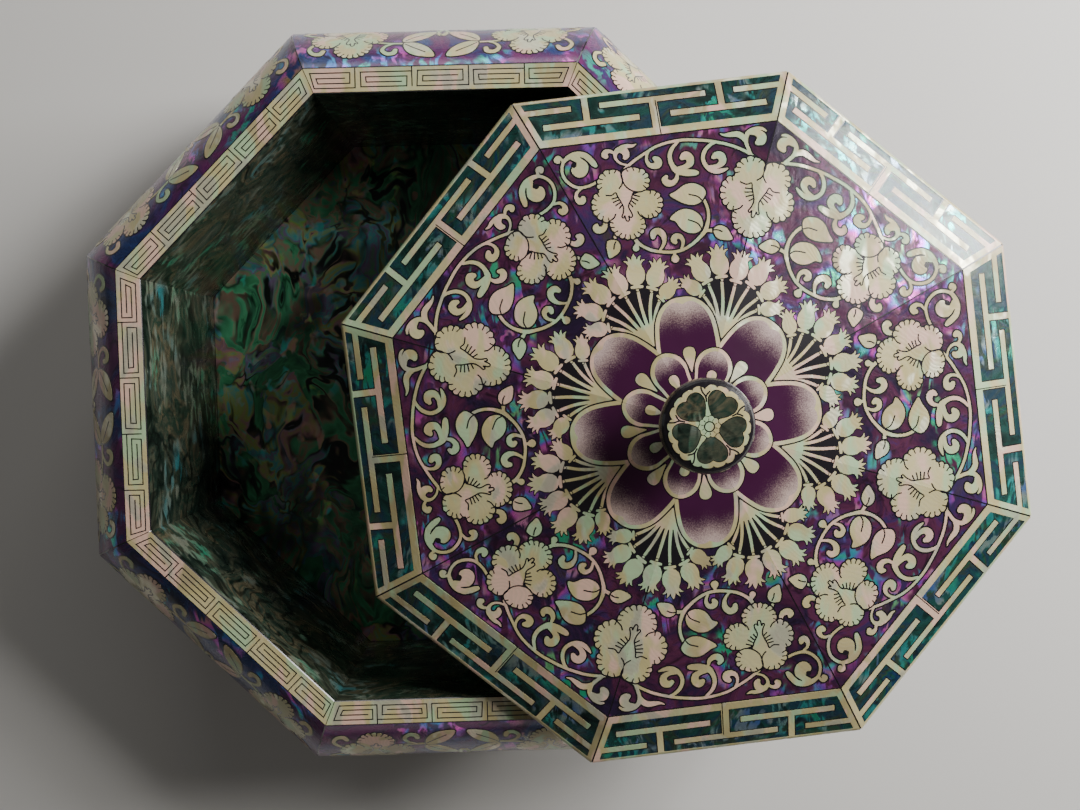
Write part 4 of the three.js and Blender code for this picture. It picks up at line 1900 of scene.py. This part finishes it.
class SHELLBOX_OT_field(bpy.types.Operator):
    """Inlay the lid's field"""

    bl_idname = "shellbox.field"
    bl_label = "Lid field"

    def execute(self, context):
        build_field()
        return {"FINISHED"}


class SHELLBOX_OT_border(bpy.types.Operator):
    """Inlay the fret of the lid's border"""

    bl_idname = "shellbox.border"
    bl_label = "Lid border"

    def execute(self, context):
        build_border()
        return {"FINISHED"}


class SHELLBOX_OT_knob(bpy.types.Operator):
    """Inlay the knob's crown"""

    bl_idname = "shellbox.knob"
    bl_label = "Knob"

    def execute(self, context):
        build_knob()
        return {"FINISHED"}


class SHELLBOX_OT_rim(bpy.types.Operator):
    """Inlay the band round the mouth"""

    bl_idname = "shellbox.rim"
    bl_label = "Rim"

    def execute(self, context):
        build_rim()
        return {"FINISHED"}


class SHELLBOX_OT_belly(bpy.types.Operator):
    """Inlay the belly"""

    bl_idname = "shellbox.belly"
    bl_label = "Belly"

    def execute(self, context):
        build_belly()
        return {"FINISHED"}


class SHELLBOX_OT_lining(bpy.types.Operator):
    """Line the well"""

    bl_idname = "shellbox.lining"
    bl_label = "Well lining"

    def execute(self, context):
        build_lining()
        return {"FINISHED"}


class SHELLBOX_OT_lacquer(bpy.types.Operator):
    """Give the frame's parts their black lacquer"""

    bl_idname = "shellbox.lacquer"
    bl_label = "Lacquer"

    def execute(self, context):
        dress_frame()
        return {"FINISHED"}


class SHELLBOX_OT_stage(bpy.types.Operator):
    """Set the floor, the lights and the camera"""

    bl_idname = "shellbox.stage"
    bl_label = "Stage"

    def execute(self, context):
        build_stage()
        build_camera()
        return {"FINISHED"}


OPERATORS = (
    SHELLBOX_OT_stage,
    SHELLBOX_OT_lacquer,
    SHELLBOX_OT_field,
    SHELLBOX_OT_border,
    SHELLBOX_OT_knob,
    SHELLBOX_OT_rim,
    SHELLBOX_OT_belly,
    SHELLBOX_OT_lining,
)


class SHELLBOX_PT_panel(bpy.types.Panel):
    """The box's pieces, sizes and colours"""

    bl_idname = "SHELLBOX_PT_panel"
    bl_label = "Shell Box"
    bl_space_type = "VIEW_3D"
    bl_region_type = "UI"
    bl_category = "Shell Box"

    def draw(self, context):
        column = self.layout.column()
        for group in (context.scene.shell_box_sizes, context.scene.shell_box_colours):
            for name in group.bl_rna.properties.keys():
                if name not in {"rna_type", "name"}:
                    column.prop(group, name)
        for operator in OPERATORS:
            column.operator(operator.bl_idname)


CLASSES = (BoxSizes, BoxColours, *OPERATORS, SHELLBOX_PT_panel)


def register():
    for cls in CLASSES:
        bpy.utils.register_class(cls)
    bpy.types.Scene.shell_box_sizes = PointerProperty(type=BoxSizes)
    bpy.types.Scene.shell_box_colours = PointerProperty(type=BoxColours)


def unregister():
    del bpy.types.Scene.shell_box_colours
    del bpy.types.Scene.shell_box_sizes
    for cls in reversed(CLASSES):
        bpy.utils.unregister_class(cls)


def main():
    """Build everything."""
    register()
    for operator in OPERATORS:
        group, name = operator.bl_idname.split(".")
        getattr(getattr(bpy.ops, group), name)()


if __name__ == "__main__":
    main()
